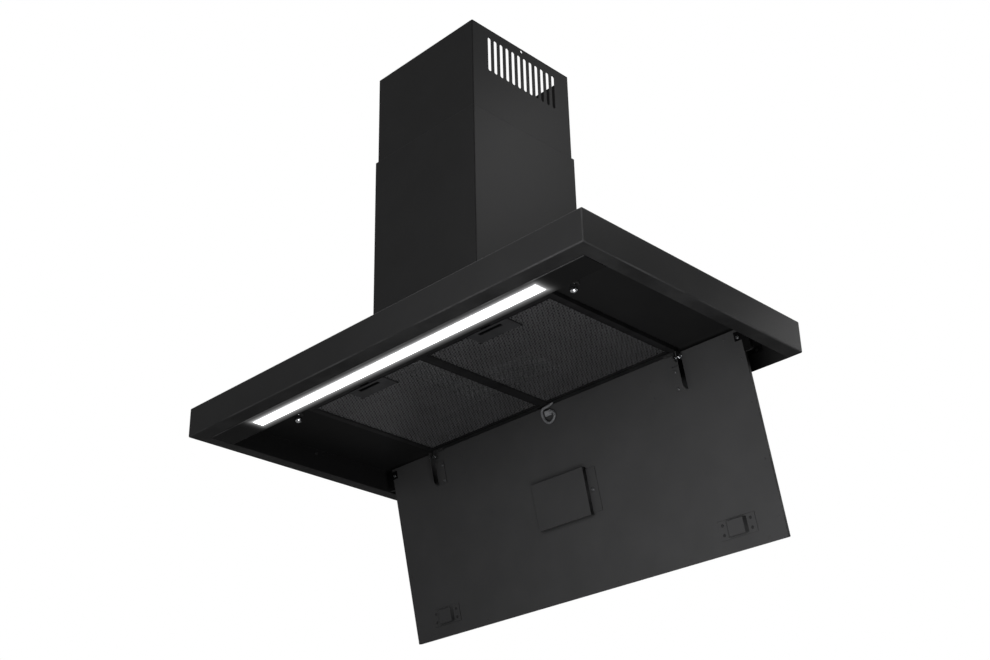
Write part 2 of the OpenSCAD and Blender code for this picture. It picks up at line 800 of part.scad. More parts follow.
module recess_liner() {
    color(black_liner) in_hood() difference() {
        union() {
            block(-recess_x - liner_sheet, recess_x + liner_sheet, lip_y - liner_sheet, skin_rear,
                ceiling_h,
                ceiling_top);
            both_sides() {
                block(recess_x, recess_x + liner_sheet, lip_y, skin_rear, canopy_sheet, ceiling_top);
                block(recess_x, recess_x + liner_foot, lip_y, skin_rear, canopy_sheet,
                    canopy_sheet + liner_sheet);
            }
        }
        both_sides() {
            block(divider_w / 2 + seat_lip, field_x - seat_lip, field_y0 + seat_lip, field_y1 - seat_lip,
                ceiling_h - cut, ceiling_top + cut);
            rod_z(ceiling_h - cut, ceiling_top + cut, stud_x, stud_y, stem_r);
            rod_z(ceiling_h - cut, ceiling_top + cut, tie_x, skin_rear - tie_top * neck_share, rivet_r);
            rod_x(recess_x - cut, recess_x + liner_sheet + cut, wall_screw_y, wall_screw_h, screw_r);
        }
        rod_z(ceiling_h - cut, ceiling_top + cut, grommet_x, grommet_y, grommet_r);
    }
}

// Ties between the ceiling and the rear skin
module rear_ties() {
    color(black_sheet) in_hood() both_sides() difference() {
        union() {
            block(tie_x - tie_w / 2, tie_x + tie_w / 2, skin_rear - tie_top, skin_rear, ceiling_h - tie_t,
                ceiling_h);
            block(tie_x - tie_w / 2, tie_x + tie_w / 2, skin_rear - tie_t, skin_rear, ceiling_h - tie_drop,
                ceiling_h);
        }
        rod_z(ceiling_h - tie_t - cut, ceiling_h + cut, tie_x, skin_rear - tie_top * neck_share, rivet_r);
        rod_y(skin_rear - tie_t - cut, skin_rear + cut, tie_x, ceiling_h - tie_drop / 2 - tie_t / 2,
            rivet_r);
    }
}

module tie_rivets() {
    color(grey_metal) in_hood() both_sides() {
        rod_z(ceiling_h - tie_t - rivet_head_t, ceiling_h - tie_t, tie_x, skin_rear - tie_top * neck_share,
            rivet_head_r);
        rod_z(ceiling_h - tie_t, ceiling_top, tie_x, skin_rear - tie_top * neck_share, rivet_r);
        rod_z(ceiling_top, ceiling_top + rivet_head_t, tie_x, skin_rear - tie_top * neck_share,
            rivet_head_r);
        rod_y(skin_rear - tie_t - rivet_head_t, skin_rear - tie_t, tie_x,
            ceiling_h - tie_drop / 2 - tie_t / 2,
            rivet_head_r);
        rod_y(skin_rear - tie_t, canopy_d / 2, tie_x, ceiling_h - tie_drop / 2 - tie_t / 2, rivet_r);
    }
}

module wall_screws() {
    color(grey_metal) in_hood() both_sides() {
        rod_x(recess_x - screw_head_t, recess_x, wall_screw_y, wall_screw_h, screw_head_r);
        rod_x(recess_x, recess_x + screw_len, wall_screw_y, wall_screw_h, screw_r);
    }
}

// Light strip
module light_plate() {
    color(black_sheet) in_hood() difference() {
        union() {
            block(-plate_x, plate_x, plate_y, lip_y, 0, canopy_sheet);
            block(-plate_x, plate_x, plate_y, plate_y + liner_sheet, 0, light_fold);
            block(-plate_x, plate_x, lip_y - liner_sheet, lip_y, 0, ceiling_h);
        }
        block(-light_x, light_x, light_y0, light_y1, -cut, canopy_sheet + cut);
    }
}

module light_diffuser() {
    color(lit_white) in_hood() {
        block(-light_x + light_play, light_x - light_play, light_y0 + light_play, light_y1 - light_play, 0,
            canopy_sheet + diffuser_t);
        block(-light_x - diffuser_lip, light_x + diffuser_lip, light_y0 - diffuser_lip,
            light_y1 + diffuser_lip,
            canopy_sheet, canopy_sheet + diffuser_t);
    }
}

module light_cover() {
    color(grey_metal) in_hood() difference() {
        block(-light_cover_x, light_cover_x, light_cover_y0, light_cover_y1, canopy_sheet,
            canopy_sheet + light_box_h);
        block(-light_cover_x + liner_sheet, light_cover_x - liner_sheet, light_cover_y0 + liner_sheet,
            light_cover_y1 - liner_sheet, canopy_sheet - cut, canopy_sheet + light_box_h - liner_sheet);
    }
}

module light_board() {
    board_high = canopy_sheet + light_box_h - liner_sheet;
    board_y = (light_y0 + light_y1) / 2;
    color(board_green) in_hood() {
        block(-light_x + led_w, light_x - led_w, board_y - led_w / 2, board_y + led_w / 2,
            board_high - led_t,
            board_high);
        for (i = [0:led_count - 1])
            translate([(i + half_share - led_count / 2) * (light_len - 2 * led_w) / led_count - led_chip / 2,
                board_y - led_chip / 2, board_high - led_t - led_chip_t])
                cube([led_chip, led_chip, led_chip_t]);
    }
}

// Fixed frame around the two filters
module filter_bezel() {
    color(grey_metal) in_hood() difference() {
        block(-field_x - bezel_w, field_x + bezel_w, field_y0 - bezel_w, field_y1 + bezel_w, frame_low,
            ceiling_h);
        both_sides() {
            block(divider_w / 2, field_x, field_y0, field_y1, frame_low - cut, ceiling_h + cut);
            block(filter_mid - tongue_w / 2 - slider_t, filter_mid + tongue_w / 2 + slider_t, notch_y0,
                field_y0 + cut, frame_low - cut, slider_z1 + slider_t);
            rod_x(filter_x0 - peg_len - slide_gap, filter_x1 + peg_len + slide_gap, filter_axis_y,
                filter_axis_z,
                peg_r + pin_play);
            for (x = hinge_screw_x()) rod_z(frame_low - cut, frame_low + screw_len, x, hinge_screw_y,
                screw_r);
        }
        block(-cable_notch, cable_notch, grommet_y - grommet_flange_r - cut, field_y1 + bezel_w + cut,
            frame_low - cut, ceiling_h + cut);
    }
}

// Ball studs that meet the panel's catches
module ball_studs() {
    color(chrome) in_hood() both_sides() translate([stud_x, stud_y, 0]) {
        translate([0, 0, ball_h]) sphere(ball_r);
        rod_z(ball_h, ceiling_h + thread_len, 0, 0, stem_r);
        translate([0, 0, ceiling_h - hex_t]) cylinder(h = hex_t, r = hex_r, $fn = hex_sides);
    }
}

module stud_nuts() {
    color(zinc) in_hood() both_sides() translate([stud_x, stud_y, ceiling_top]) difference() {
        cylinder(h = hex_t, r = hex_r, $fn = hex_sides);
        rod_z(-cut, hex_t + cut, 0, 0, stem_r);
    }
}

// Fixed half of the panel's hinge
function hinge_screw_x() = [for (s = hinge_screw_shares) bracket_x0 - bracket_foot * s];

module hinge_brackets() {
    color(black_sheet) in_hood() both_sides() difference() {
        union() {
            block(bracket_x0, bracket_x1, hinge_y - ear_r * ear_share, hinge_y + ear_r * half_share,
                hinge_h,
                frame_low);
            rod_x(bracket_x0, bracket_x1, hinge_y, hinge_h, ear_r);
            block(bracket_x0 - bracket_foot, bracket_x0, hinge_y - ear_r * ear_share, bracket_y1,
                frame_low - bracket_foot_t, frame_low);
        }
        rod_x(bracket_x0 - cut, bracket_x1 + cut, hinge_y, hinge_h, pin_r);
        for (x = hinge_screw_x()) rod_z(frame_low - bracket_foot_t - cut, frame_low + cut, x, hinge_screw_y,
            screw_r);
    }
}

module hinge_screws() {
    color(grey_metal) in_hood() both_sides() for (x = hinge_screw_x()) {
        rod_z(frame_low - bracket_foot_t - screw_head_t, frame_low - bracket_foot_t, x, hinge_screw_y,
            screw_head_r);
        rod_z(frame_low - bracket_foot_t, frame_low + screw_len, x, hinge_screw_y, screw_r);
    }
}

module hinge_pins() {
    head_x = arm_x1 + slide_gap;
    color(chrome) in_hood() both_sides() {
        rod_x(bracket_x0, head_x, hinge_y, hinge_h, pin_r);
        rod_x(head_x, head_x + pin_head_t, hinge_y, hinge_h, pin_head_r);
        rod_x(bracket_x0 - arm_t, bracket_x0, hinge_y, hinge_h, pin_tail_r);
    }
}

module cable_grommet() {
    color(black_plastic) in_hood() difference() {
        union() {
            rod_z(ceiling_h - grommet_t, ceiling_h, grommet_x, grommet_y, grommet_flange_r);
            rod_z(ceiling_h, ceiling_top, grommet_x, grommet_y, grommet_r);
            rod_z(ceiling_top, ceiling_top + grommet_t, grommet_x, grommet_y, grommet_flange_r);
        }
        rod_z(ceiling_h - grommet_t - cut, ceiling_top + grommet_t + cut, grommet_x, grommet_y,
            grommet_bore_r);
    }
}

// Chimney
module lower_chimney() {
    color(black_sheet) in_hood() difference() {
        translate([0, 0, canopy_top]) rounded_box(lower_w, lower_w, lower_top - canopy_top, chimney_r);
        translate([0, 0, canopy_top + chimney_sheet])
            rounded_box(lower_in, lower_in, lower_top - canopy_top - chimney_sheet - hem_h,
                chimney_r - chimney_sheet);
        translate([0, 0, lower_top - hem_h - cut])
            rounded_box(hem_in, hem_in, hem_h + 2 * cut, chimney_r);
        translate([0, 0, canopy_top - cut])
            rounded_box(lower_in - 2 * chimney_flange, lower_in - 2 * chimney_flange, lower_top, chimney_r);
        four_corners(chimney_screw) rod_z(canopy_top - cut, canopy_top + chimney_sheet + cut, 0, 0,
            screw_r);
    }
}

module chimney_screws() {
    color(zinc) in_hood() four_corners(chimney_screw) {
        rod_z(canopy_top + chimney_sheet, canopy_top + chimney_sheet + screw_head_t, 0, 0, screw_head_r);
        rod_z(canopy_top + chimney_sheet - screw_len, canopy_top + chimney_sheet, 0, 0, screw_r);
    }
}

module upper_chimney() {
    vent_r = vent_w / 2;
    color(black_sheet) in_hood() difference() {
        translate([0, 0, upper_top - upper_len]) rounded_box(upper_w, upper_w, upper_len, chimney_r);
        translate([0, 0, upper_top - upper_len - cut])
            rounded_box(upper_in, upper_in, upper_len + 2 * cut, chimney_r - chimney_sheet);
        both_sides() {
            for (i = [0:vent_count - 1]) translate([0, (i - (vent_count - 1) / 2) * vent_pitch, 0]) {
                block(upper_in / 2 - cut, upper_w / 2 + cut, -vent_r, vent_r, vent_low + vent_r,
                    vent_high - vent_r);
                rod_x(upper_in / 2 - cut, upper_w / 2 + cut, 0, vent_low + vent_r, vent_r);
                rod_x(upper_in / 2 - cut, upper_w / 2 + cut, 0, vent_high - vent_r, vent_r);
            }
            rod_x(upper_in / 2 - cut, upper_w / 2 + cut, 0, fixing_h, fixing_r);
        }
    }
}

// Fan
module fan_box() {
    color(zinc) in_hood() difference() {
        block(-box_x, box_x, -box_x, box_x, canopy_top, box_top);
        block(-box_in, box_in, -box_in, box_in, canopy_top + box_sheet, box_top - box_sheet);
        translate([-plenum_open / 2, -plenum_open / 2, canopy_top - cut])
            cube([plenum_open, plenum_open, box_sheet + 2 * cut]);
        rod_z(box_top - box_sheet - cut, box_top + cut, 0, 0, collar_in);
        rod_z(box_top - box_sheet - cut, box_top + cut, gland_x, gland_x, gland_thread_r);
        collar_screw_spots() rod_z(box_top - box_sheet - cut, box_top + cut, 0, 0, screw_r);
        bolt_spots() rod_y(-box_x - cut, -box_in + cut, 0, 0, bolt_r);
        rod_x(-box_x - cut, -box_in + cut, capacitor_y, capacitor_z, shaft_r);
    }
}

module scroll_body(inset) {
    half = scroll_w / 2 - inset;
    side = chamber_x - inset;
    rod_x(-half, half, 0, scroll_z, scroll_r - inset);
    block(-half, half, wheel_shift + inset, scroll_r - inset, scroll_z, chamber_z0 + 2 * scroll_wall);
    block(-side, side, -side, chamber_y1 - inset, chamber_z0 + inset, chamber_z1);
}

module fan_scroll() {
    color(black_plastic) in_hood() difference() {
        scroll_body(0);
        scroll_body(scroll_wall);
        block(scroll_wall - chamber_x, chamber_x - scroll_wall, scroll_wall - chamber_x,
            chamber_y1 - scroll_wall,
            chamber_z1 - cut, chamber_z1 + cut);
        rod_x(-scroll_w / 2 - cut, scroll_w / 2 + cut, wheel_y, wheel_z, inlet_r);
    }
}

module fan_motor() {
    color(grey_metal) in_hood() difference() {
        rod_x(motor_x0, motor_x1, wheel_y, wheel_z, motor_r);
        rod_x(motor_x0 - cut, motor_x1 - motor_end, wheel_y, wheel_z, shaft_r + pin_play);
    }
}

module motor_spider() {
    x0 = scroll_w / 2;
    x1 = x0 + spider_t;
    color(zinc) in_hood() difference() {
        union() {
            difference() {
                rod_x(x0, x1, wheel_y, wheel_z, inlet_r + spider_ring);
                rod_x(x0 - cut, x1 + cut, wheel_y, wheel_z, inlet_r - cut);
            }
            rod_x(x0, x1, wheel_y, wheel_z, motor_r + spider_t);
            for (a = [0:120:240]) translate([x0, wheel_y, wheel_z]) rotate([a, 0, 0])
                translate([0, -spider_arm / 2, motor_r + cut])
                    cube([spider_t, spider_arm, inlet_r + spider_t - motor_r]);
        }
        rod_x(x0 - cut, x1 + cut, wheel_y, wheel_z, motor_r);
    }
}

module capacitor() {
    color(zinc) in_hood() {
        rod_x(-box_in, -box_in + capacitor_len, capacitor_y, capacitor_z, capacitor_r);
        rod_x(-box_x - shaft_r, -box_in, capacitor_y, capacitor_z, shaft_r);
    }
}

module fan_wheel() {
    color(fan_grey) in_hood() translate([0, wheel_y, wheel_z]) difference() {
        union() {
            for (i = [0:blade_count - 1]) rotate([i * 360 / blade_count, 0, 0])
                block(-wheel_w / 2, wheel_w / 2, -blade_t / 2, blade_t / 2, wheel_r - blade_len,
                    wheel_r - blade_t);
            for (x = [-wheel_w / 2, wheel_w / 2 - disc_t]) difference() {
                rod_x(x, x + disc_t, 0, 0, wheel_r);
                rod_x(x - cut, x + disc_t + cut, 0, 0, wheel_r - blade_len);
            }
            rod_x(-disc_t / 2, disc_t / 2, 0, 0, wheel_r);
            rod_x(-hub_len / 2, hub_len / 2, 0, 0, hub_r);
        }
        rod_x(-hub_len, hub_len, 0, 0, shaft_r);
    }
}

module motor_shaft() {
    color(chrome) in_hood() rod_x(-hub_len / 2 - disc_t, shaft_x1, wheel_y, wheel_z, shaft_r);
}

// Outlet with its two non-return flaps
module collar_screw_spots() {
    for (a = [45:90:315]) rotate([0, 0, a]) translate([(collar_r + collar_flange_r) / 2, 0, 0]) children();
}

module outlet_collar() {
    color(black_plastic) in_hood() difference() {
        union() {
            rod_z(box_top, box_top + collar_h, 0, 0, collar_r);
            rod_z(box_top, box_top + collar_flange_t, 0, 0, collar_flange_r);
        }
        rod_z(box_top - cut, flap_low - slide_gap - ledge_t, 0, 0, collar_in);
        rod_z(box_top, box_top + collar_h, 0, 0, collar_in - ledge_w);
        rod_z(flap_low - slide_gap, box_top + collar_h + cut, 0, 0, collar_in);
        rod_y(-collar_r - cut, collar_r + cut, 0, flap_z, rod_r);
        collar_screw_spots() rod_z(box_top - cut, box_top + collar_flange_t + cut, 0, 0, screw_r);
    }
}

module collar_screws() {
    color(zinc) in_hood() collar_screw_spots() {
        rod_z(box_top + collar_flange_t, box_top + collar_flange_t + screw_head_t, 0, 0, screw_head_r);
        rod_z(box_top - box_sheet, box_top + collar_flange_t, 0, 0, screw_r);
    }
}

module flap_rod() {
    color(chrome) in_hood() rod_y(-collar_r, collar_r, 0, flap_z, rod_r);
}

// One flap on the positive side, with knuckles that start at the given places along the rod
module flap(starts) {
    in_hood() difference() {
        union() {
            intersection() {
                rod_z(flap_low, flap_high, 0, 0, flap_r);
                block(flap_start, flap_r, -flap_r, flap_r, flap_low, flap_high);
            }
            for (y = starts) {
                rod_y(y, y + knuckle_len, 0, flap_z, knuckle_r);
                block(0, flap_start + cut, y, y + knuckle_len, flap_low, flap_high);
            }
        }
        rod_y(-flap_r - cut, flap_r + cut, 0, flap_z, knuckle_bore);
    }
}

module flap_right() {
    color(grey_metal) flap(knuckle_right);
}

module flap_left() {
    color(grey_metal) mirror([1, 0, 0]) flap(knuckle_left);
}

// Hanging frame
module bolt_spots() {
    for (x = [-1, 1], z = [bolt_low, bolt_high]) translate([x * bolt_x, 0, canopy_top + z]) {
        children();
        mirror([0, 1, 0]) children();
    }
}

module corner_rails() {
    color(zinc) in_hood() difference() {
        for (x = [0, 1], y = [0, 1]) mirror([x, 0, 0]) mirror([0, y, 0]) {
            block(rail_x - rail_leg, rail_x, box_x, rail_x, canopy_top, hang_h);
            block(box_x, rail_x, rail_x - rail_leg, rail_x, canopy_top, hang_h);
        }
        bolt_spots() rod_y(-rail_x - cut, -box_x + cut, 0, 0, bolt_r);
    }
}

module top_plate() {
    color(zinc) in_hood() difference() {
        block(-box_x, box_x, -box_x, box_x, hang_h - top_t, hang_h);
        block(-top_open / 2, top_open / 2, -top_open / 2, top_open / 2, hang_h - top_t - cut, hang_h + cut);
        four_corners(hang_pitch / 2) rod_z(hang_h - top_t - cut, hang_h + cut, 0, 0, hang_hole_r);
    }
}

module frame_bolts() {
    color(zinc) in_hood() bolt_spots() {
        rod_y(-rail_x, -box_in, 0, 0, bolt_r);
        translate([0, -rail_x, 0]) rotate([90, 0, 0])
            cylinder(h = bolt_head_t, r = bolt_head_r, $fn = hex_sides);
        translate([0, -box_in, 0]) rotate([-90, 0, 0])
            cylinder(h = bolt_head_t, r = bolt_head_r, $fn = hex_sides);
    }
}

// Electrics
module power_box() {
    color(grey_metal) in_hood() difference() {
        block(power_x, power_x1, power_y, power_y1, ceiling_top, power_z1);
        difference() {
            block(power_x + power_wall, power_x1 - power_wall, power_y + power_wall, power_y1 - power_wall,
                ceiling_top + power_wall, power_z1 - power_wall);
            power_posts();
        }
    }
}

module power_posts() {
    for (x = [power_x + post_inset, power_x1 - post_inset],
        y = [power_y + post_inset, power_y1 - post_inset])
        rod_z(ceiling_top, power_board_z, x, y, post_r);
}

module power_board() {
    x0 = power_x + post_r;
    x1 = power_x1 - post_r;
    y0 = power_y + post_r;
    y1 = power_y1 - post_r;
    color(board_green) in_hood() {
        block(x0, x1, y0, y1, power_board_z, power_board_z + board_t);
        for (s = power_part_shares) block(x0 + power_w * s[0], x0 + power_w * s[1], y0 + power_d * s[2],
            y0 + power_d * s[3], power_board_z, power_z1 - 2 * power_wall);
    }
}

module cable_gland() {
    color(black_plastic) in_hood() difference() {
        union() {
            rod_z(box_top - gland_thread, box_top, gland_x, gland_x, gland_thread_r);
            translate([gland_x, gland_x, box_top]) cylinder(h = gland_thread, r = gland_hex_r,
                $fn = hex_sides);
            rod_z(box_top, box_top + gland_h, gland_x, gland_x, gland_thread_r + cut);
        }
        rod_z(box_top - gland_thread - cut, box_top + gland_h + cut, gland_x, gland_x, gland_bore_r);
    }
}

// Filters, made on the right and mirrored to the left
module filter_tray() {
    block(filter_mid - latch_w / 2, filter_mid + latch_w / 2, bar_rear, latch_y1, frame_low, filter_top);
}

module filter_body() {
    in_hood() difference() {
        union() {
            block(filter_x0, filter_x1, filter_y0, filter_axis_y, frame_low, filter_top);
            rod_x(filter_x0, filter_x1, filter_axis_y, filter_axis_z, filter_t / 2);
            rod_x(filter_x0 - peg_len, filter_x1 + peg_len, filter_axis_y, filter_axis_z, peg_r);
        }
        block(filter_x0 + filter_bar, filter_x1 - filter_bar, bar_rear, filter_axis_y - filter_bar,
            frame_low - cut, filter_top + cut);
        block(mesh_x0, mesh_x1, mesh_y0, mesh_y1, mesh_low, mesh_high);
        block(filter_mid - tongue_w / 2 - slide_gap, filter_mid + tongue_w / 2 + slide_gap, filter_y0 - cut,
            bar_rear + cut, slider_z0 - slide_gap, slider_z1 + slide_gap);
    }
}

module filter_mesh() {
    in_hood() difference() {
        block(mesh_x0, mesh_x1, mesh_y0, mesh_y1, mesh_low, mesh_high);
        translate([0, -filter_bar, 0]) filter_tray();
        filter_tray();
    }
}

module latch_plate() {
    x0 = filter_mid - latch_w / 2;
    x1 = filter_mid + latch_w / 2;
    in_hood() difference() {
        union() {
            translate([filter_mid, filter_y0 + latch_d / 2, frame_low - latch_t])
                rounded_box(latch_w, latch_d, latch_t, latch_r);
            block(x0, x1, latch_y1 - tray_wall, latch_y1, frame_low, tray_high);
            for (x = [x0, x1 - tray_wall]) block(x, x + tray_wall, bar_rear, latch_y1, frame_low,
                tray_high);
            block(x0, x1, bar_rear, latch_y1, frame_low - latch_t * half_share, frame_low);
        }
        block(filter_mid - finger_w / 2, filter_mid + finger_w / 2, finger_y0, finger_y1,
            frame_low - latch_t - cut,
            frame_low + cut);
    }
}

module latch_slider() {
    in_hood() {
        block(filter_mid - slider_w / 2, filter_mid + slider_w / 2, slider_y0, slider_y1, slider_z0,
            slider_z1);
        block(filter_mid - tongue_w / 2, filter_mid + tongue_w / 2, tongue_y0, slider_y0, slider_z0,
            slider_z1);
        block(filter_mid - finger_w / 2 + slider_t, filter_mid + finger_w / 2 - slider_t,
            slider_y1 - slider_t,
            slider_y1, frame_low + slide_gap, slider_z0);
    }
}

module filter_right() {
    color(grey_metal) filter_body();
}

module filter_left() {
    color(grey_metal) mirror([1, 0, 0]) filter_body();
}

module mesh_right() {
    color(mesh_grey) filter_mesh();
}

module mesh_left() {
    color(mesh_grey) mirror([1, 0, 0]) filter_mesh();
}

module latch_plate_right() {
    color(black_plastic) latch_plate();
}

module latch_plate_left() {
    color(black_plastic) mirror([1, 0, 0]) latch_plate();
}

module latch_slider_right() {
    color(black_plastic) latch_slider();
}

module latch_slider_left() {
    color(black_plastic) mirror([1, 0, 0]) latch_slider();
}

// Hinged panel
module panel_skin() {
    color(black_sheet) on_panel() difference() {
        translate([0, -panel_d / 2, -panel_t]) rounded_box(panel_w, panel_d, panel_t - panel_sheet,
            panel_r);
        translate([0, -panel_d / 2, panel_sheet - panel_t])
            rounded_box(panel_w - 2 * panel_sheet, panel_d - 2 * panel_sheet, panel_t,
                panel_r - panel_sheet);
        panel_block(-window_w / 2, window_w / 2, cover_mid - window_d / 2, cover_mid + window_d / 2,
            -panel_t - cut,
            0);
    }
}

module dot_spots() {
    for (x = dot_top_x, s = [-1, 1], v = [dot_edge + dot_r, panel_d - dot_edge]) translate([s * x, -v,
        0]) children();
    for (v = dot_side_v, s = [-1, 1]) translate([s * dot_side_x, -v, 0]) children();
    for (v = arm_rivet_v, s = [-1, 1]) translate([s * brace_rivet_x, -v, 0]) children();
}

module arm_rivet_spots() {
    for (v = arm_rivet_v, s = [-1, 1]) translate([s * arm_rivet_x, -v, 0]) children();
}

module catch_rivet_spots() {
    for (s = [-1, 1], x = [-1, 1], v = [-1, 1])
        translate([s * stud_x + x * catch_pitch_x / 2, -catch_v + v * catch_pitch_v / 2, 0]) children();
}

module guide_screw_spots() {
    for (s = [-1, 1]) translate([s * (panel_x - guide_lip / 2),
        -guide_start - guide_lip_len * guide_screw_share, 0]) children();
}

module panel_sheet_inner() {
    color(black_sheet) on_panel() difference() {
        translate([0, -panel_d / 2, -panel_sheet]) rounded_box(panel_w, panel_d, panel_sheet, panel_r);
        panel_block(-board_w / 2 - slide_gap, board_w / 2 + slide_gap, cover_mid - board_d / 2 - slide_gap,
            cover_mid + board_d / 2 + slide_gap, -panel_sheet - cut, cut);
        dot_spots() rod_z(-panel_sheet - cut, cut, 0, 0, dot_r * neck_share);
        arm_rivet_spots() rod_z(-panel_sheet - cut, cut, 0, 0, rivet_r);
        catch_rivet_spots() rod_z(-panel_sheet - cut, cut, 0, 0, rivet_r);
        guide_screw_spots() rod_z(-panel_sheet - cut, cut, 0, 0, screw_r);
        rod_z(-panel_sheet - cut, cut, cover_screw_x, -cover_mid, screw_r);
    }
}

module panel_rivets() {
    color(grey_metal) on_panel() dot_spots() {
        rod_z(0, dot_t, 0, 0, dot_r);
        rod_z(-panel_sheet, 0, 0, 0, dot_r * neck_share);
    }
}

module hinge_arms() {
    color(black_sheet) on_panel() both_sides() difference() {
        union() {
            panel_block(arm_x0, arm_x1, 0, arm_len - arm_r, 0, arm_h);
            panel_block(arm_x0, arm_x1, 0, arm_len, 0, arm_h - arm_r);
            intersection() {
                rod_x(arm_x0, arm_x1, arm_r - arm_len, arm_h - arm_r, arm_r);
                panel_block(arm_x0, arm_x1, 0, arm_len, 0, arm_h);
            }
            panel_block(arm_x0 - arm_foot, arm_x0, arm_foot_start, arm_len, 0, arm_t);
        }
        rod_x(arm_x0 - cut, arm_x1 + cut, -hinge_back, hinge_off, pin_r + pin_play);
        arm_rivet_spots() rod_z(-cut, arm_t + cut, 0, 0, rivet_r);
    }
}

module arm_rivets() {
    color(grey_metal) on_panel() arm_rivet_spots() {
        rod_z(arm_t, arm_t + rivet_head_t, 0, 0, rivet_head_r);
        rod_z(-panel_sheet, arm_t, 0, 0, rivet_r);
    }
}

module catch_profile(inset) {
    polygon([[-catch_foot_w / 2 + inset, 0], [catch_foot_w / 2 - inset, 0],
        [catch_top_w / 2 - inset, catch_h - inset],
        [-catch_top_w / 2 + inset, catch_h - inset]]);
}

module catch_housings() {
    color(black_sheet) on_panel() both_sides() translate([stud_x, -catch_v, 0]) difference() {
        union() {
            block(-catch_base_w / 2, catch_base_w / 2, -catch_base_d / 2, catch_base_d / 2, 0,
                catch_base_t);
            translate([0, catch_len / 2, 0]) rotate([90, 0, 0]) linear_extrude(catch_len) catch_profile(0);
        }
        translate([0, catch_len / 2 - catch_wall, 0]) rotate([90, 0, 0])
            linear_extrude(catch_len - 2 * catch_wall) catch_profile(catch_wall);
        for (x = [-1, 1], v = [-1, 1]) translate([x * catch_pitch_x / 2, v * catch_pitch_v / 2, 0])
            rod_z(-cut, catch_base_t + cut, 0, 0, rivet_r);
    }
}

module catch_magnets() {
    magnet_x = catch_top_w / 2 - 2 * catch_wall;
    magnet_y = catch_len / 2 - 2 * catch_wall;
    color(zinc) on_panel() both_sides() translate([stud_x, -catch_v, 0])
        block(-magnet_x, magnet_x, -magnet_y, magnet_y, 0, catch_h - catch_wall);
}

module catch_rivets() {
    color(grey_metal) on_panel() catch_rivet_spots() {
        rod_z(catch_base_t, catch_base_t + rivet_head_t, 0, 0, rivet_head_r);
        rod_z(-panel_sheet, catch_base_t, 0, 0, rivet_r);
    }
}

module control_cover() {
    color(black_sheet) on_panel() difference() {
        union() {
            panel_block(cover_x0, cover_x1, cover_start, cover_v1, 0, cover_h);
            panel_block(cover_x1, cover_x1 + cover_tab, cover_mid - cover_tab_len / 2,
                cover_mid + cover_tab_len / 2, 0, cover_sheet);
            panel_block(cover_x0 - cover_hook, cover_x0, cover_mid - cover_hook, cover_mid + cover_hook, 0,
                cover_sheet);
        }
        panel_block(cover_x0 + cover_sheet, cover_x1 - cover_sheet, cover_start + cover_sheet,
            cover_v1 - cover_sheet, -cut, cover_h - cover_sheet);
        rod_z(-cut, cover_sheet + cut, cover_screw_x, -cover_mid, screw_r);
    }
}

module cover_screw() {
    color(grey_metal) on_panel() {
        rod_z(cover_sheet, cover_sheet + screw_head_t, cover_screw_x, -cover_mid, screw_head_r);
        rod_z(-panel_sheet, cover_sheet, cover_screw_x, -cover_mid, screw_r);
        guide_screw_spots() {
            rod_z(guide_lip_t, guide_lip_t + screw_head_t, 0, 0, screw_head_r);
            rod_z(-panel_sheet, guide_lip_t, 0, 0, screw_r);
        }
    }
}

module touch_window() {
    color(glass_black) on_panel() panel_block(-window_w / 2, window_w / 2, cover_mid - window_d / 2,
        cover_mid + window_d / 2, -panel_t, board_low);
}

module control_board() {
    top = board_low + board_t;
    color(board_green) on_panel() {
        panel_block(-board_w / 2, board_w / 2, cover_mid - board_d / 2, cover_mid + board_d / 2, board_low,
            top);
        for (s = board_part_shares) panel_block(board_w * s[0], board_w * s[1], cover_mid + board_d * s[2],
            cover_mid + board_d * s[3], top, top + board_part_h);
    }
}

module side_guides() {
    v1 = guide_start + guide_len;
    end_r = panel_t / 2;
    color(black_plastic) on_panel() both_sides() difference() {
        union() {
            panel_block(panel_x, panel_x + guide_w - end_r, guide_start, v1, -panel_t, guide_lip_t);
            panel_block(panel_x, panel_x + guide_w, guide_start + end_r, v1 - end_r, -panel_t, guide_lip_t);
            for (v = [guide_start + end_r, v1 - end_r])
                rod_z(-panel_t, guide_lip_t, panel_x + guide_w - end_r, -v, end_r);
            panel_block(panel_x - guide_lip, panel_x, guide_start, guide_start + guide_lip_len, 0,
                guide_lip_t);
        }
        guide_screw_spots() rod_z(-cut, guide_lip_t + cut, 0, 0, screw_r);
    }
}

module cable_plug() {
    color(cable_grey) on_panel()
        panel_block(plug_x1 - plug_w, plug_x1, plug_v - plug_d / 2, plug_v + plug_d / 2, 0, plug_h);
}

// Rings of points around the cable, each square to the route
function heading(i) = let (d = cable_pts[min(i + 1, cable_last)] - cable_pts[max(i - 1, 0)]) d / norm(d);
function across(i) = let (c = cross(heading(i), [0, 0, 1])) c / norm(c);
function ring(i) = let (a = across(i), b = cross(a, heading(i)))
    [for (k = [0:cable_sides - 1]) cable_pts[i]
        + cable_r * (a * cos(k * 360 / cable_sides) + b * sin(k * 360 / cable_sides))];

module control_cable() {
    skin_points = [for (i = [0:cable_last]) each ring(i)];
    sides = [for (i = [0:cable_last - 1], k = [0:cable_sides - 1]) let (j = (k + 1) % cable_sides)
        [i * cable_sides + k, i * cable_sides + j, (i + 1) * cable_sides + j, (i + 1) * cable_sides + k]];
    start = [for (k = [0:cable_sides - 1]) cable_sides - 1 - k];
    finish = [for (k = [0:cable_sides - 1]) cable_last * cable_sides + k];
    color(cable_grey) on_panel() polyhedron(points = skin_points, faces = concat(sides, [start], [finish]),
        convexity = 6);
}

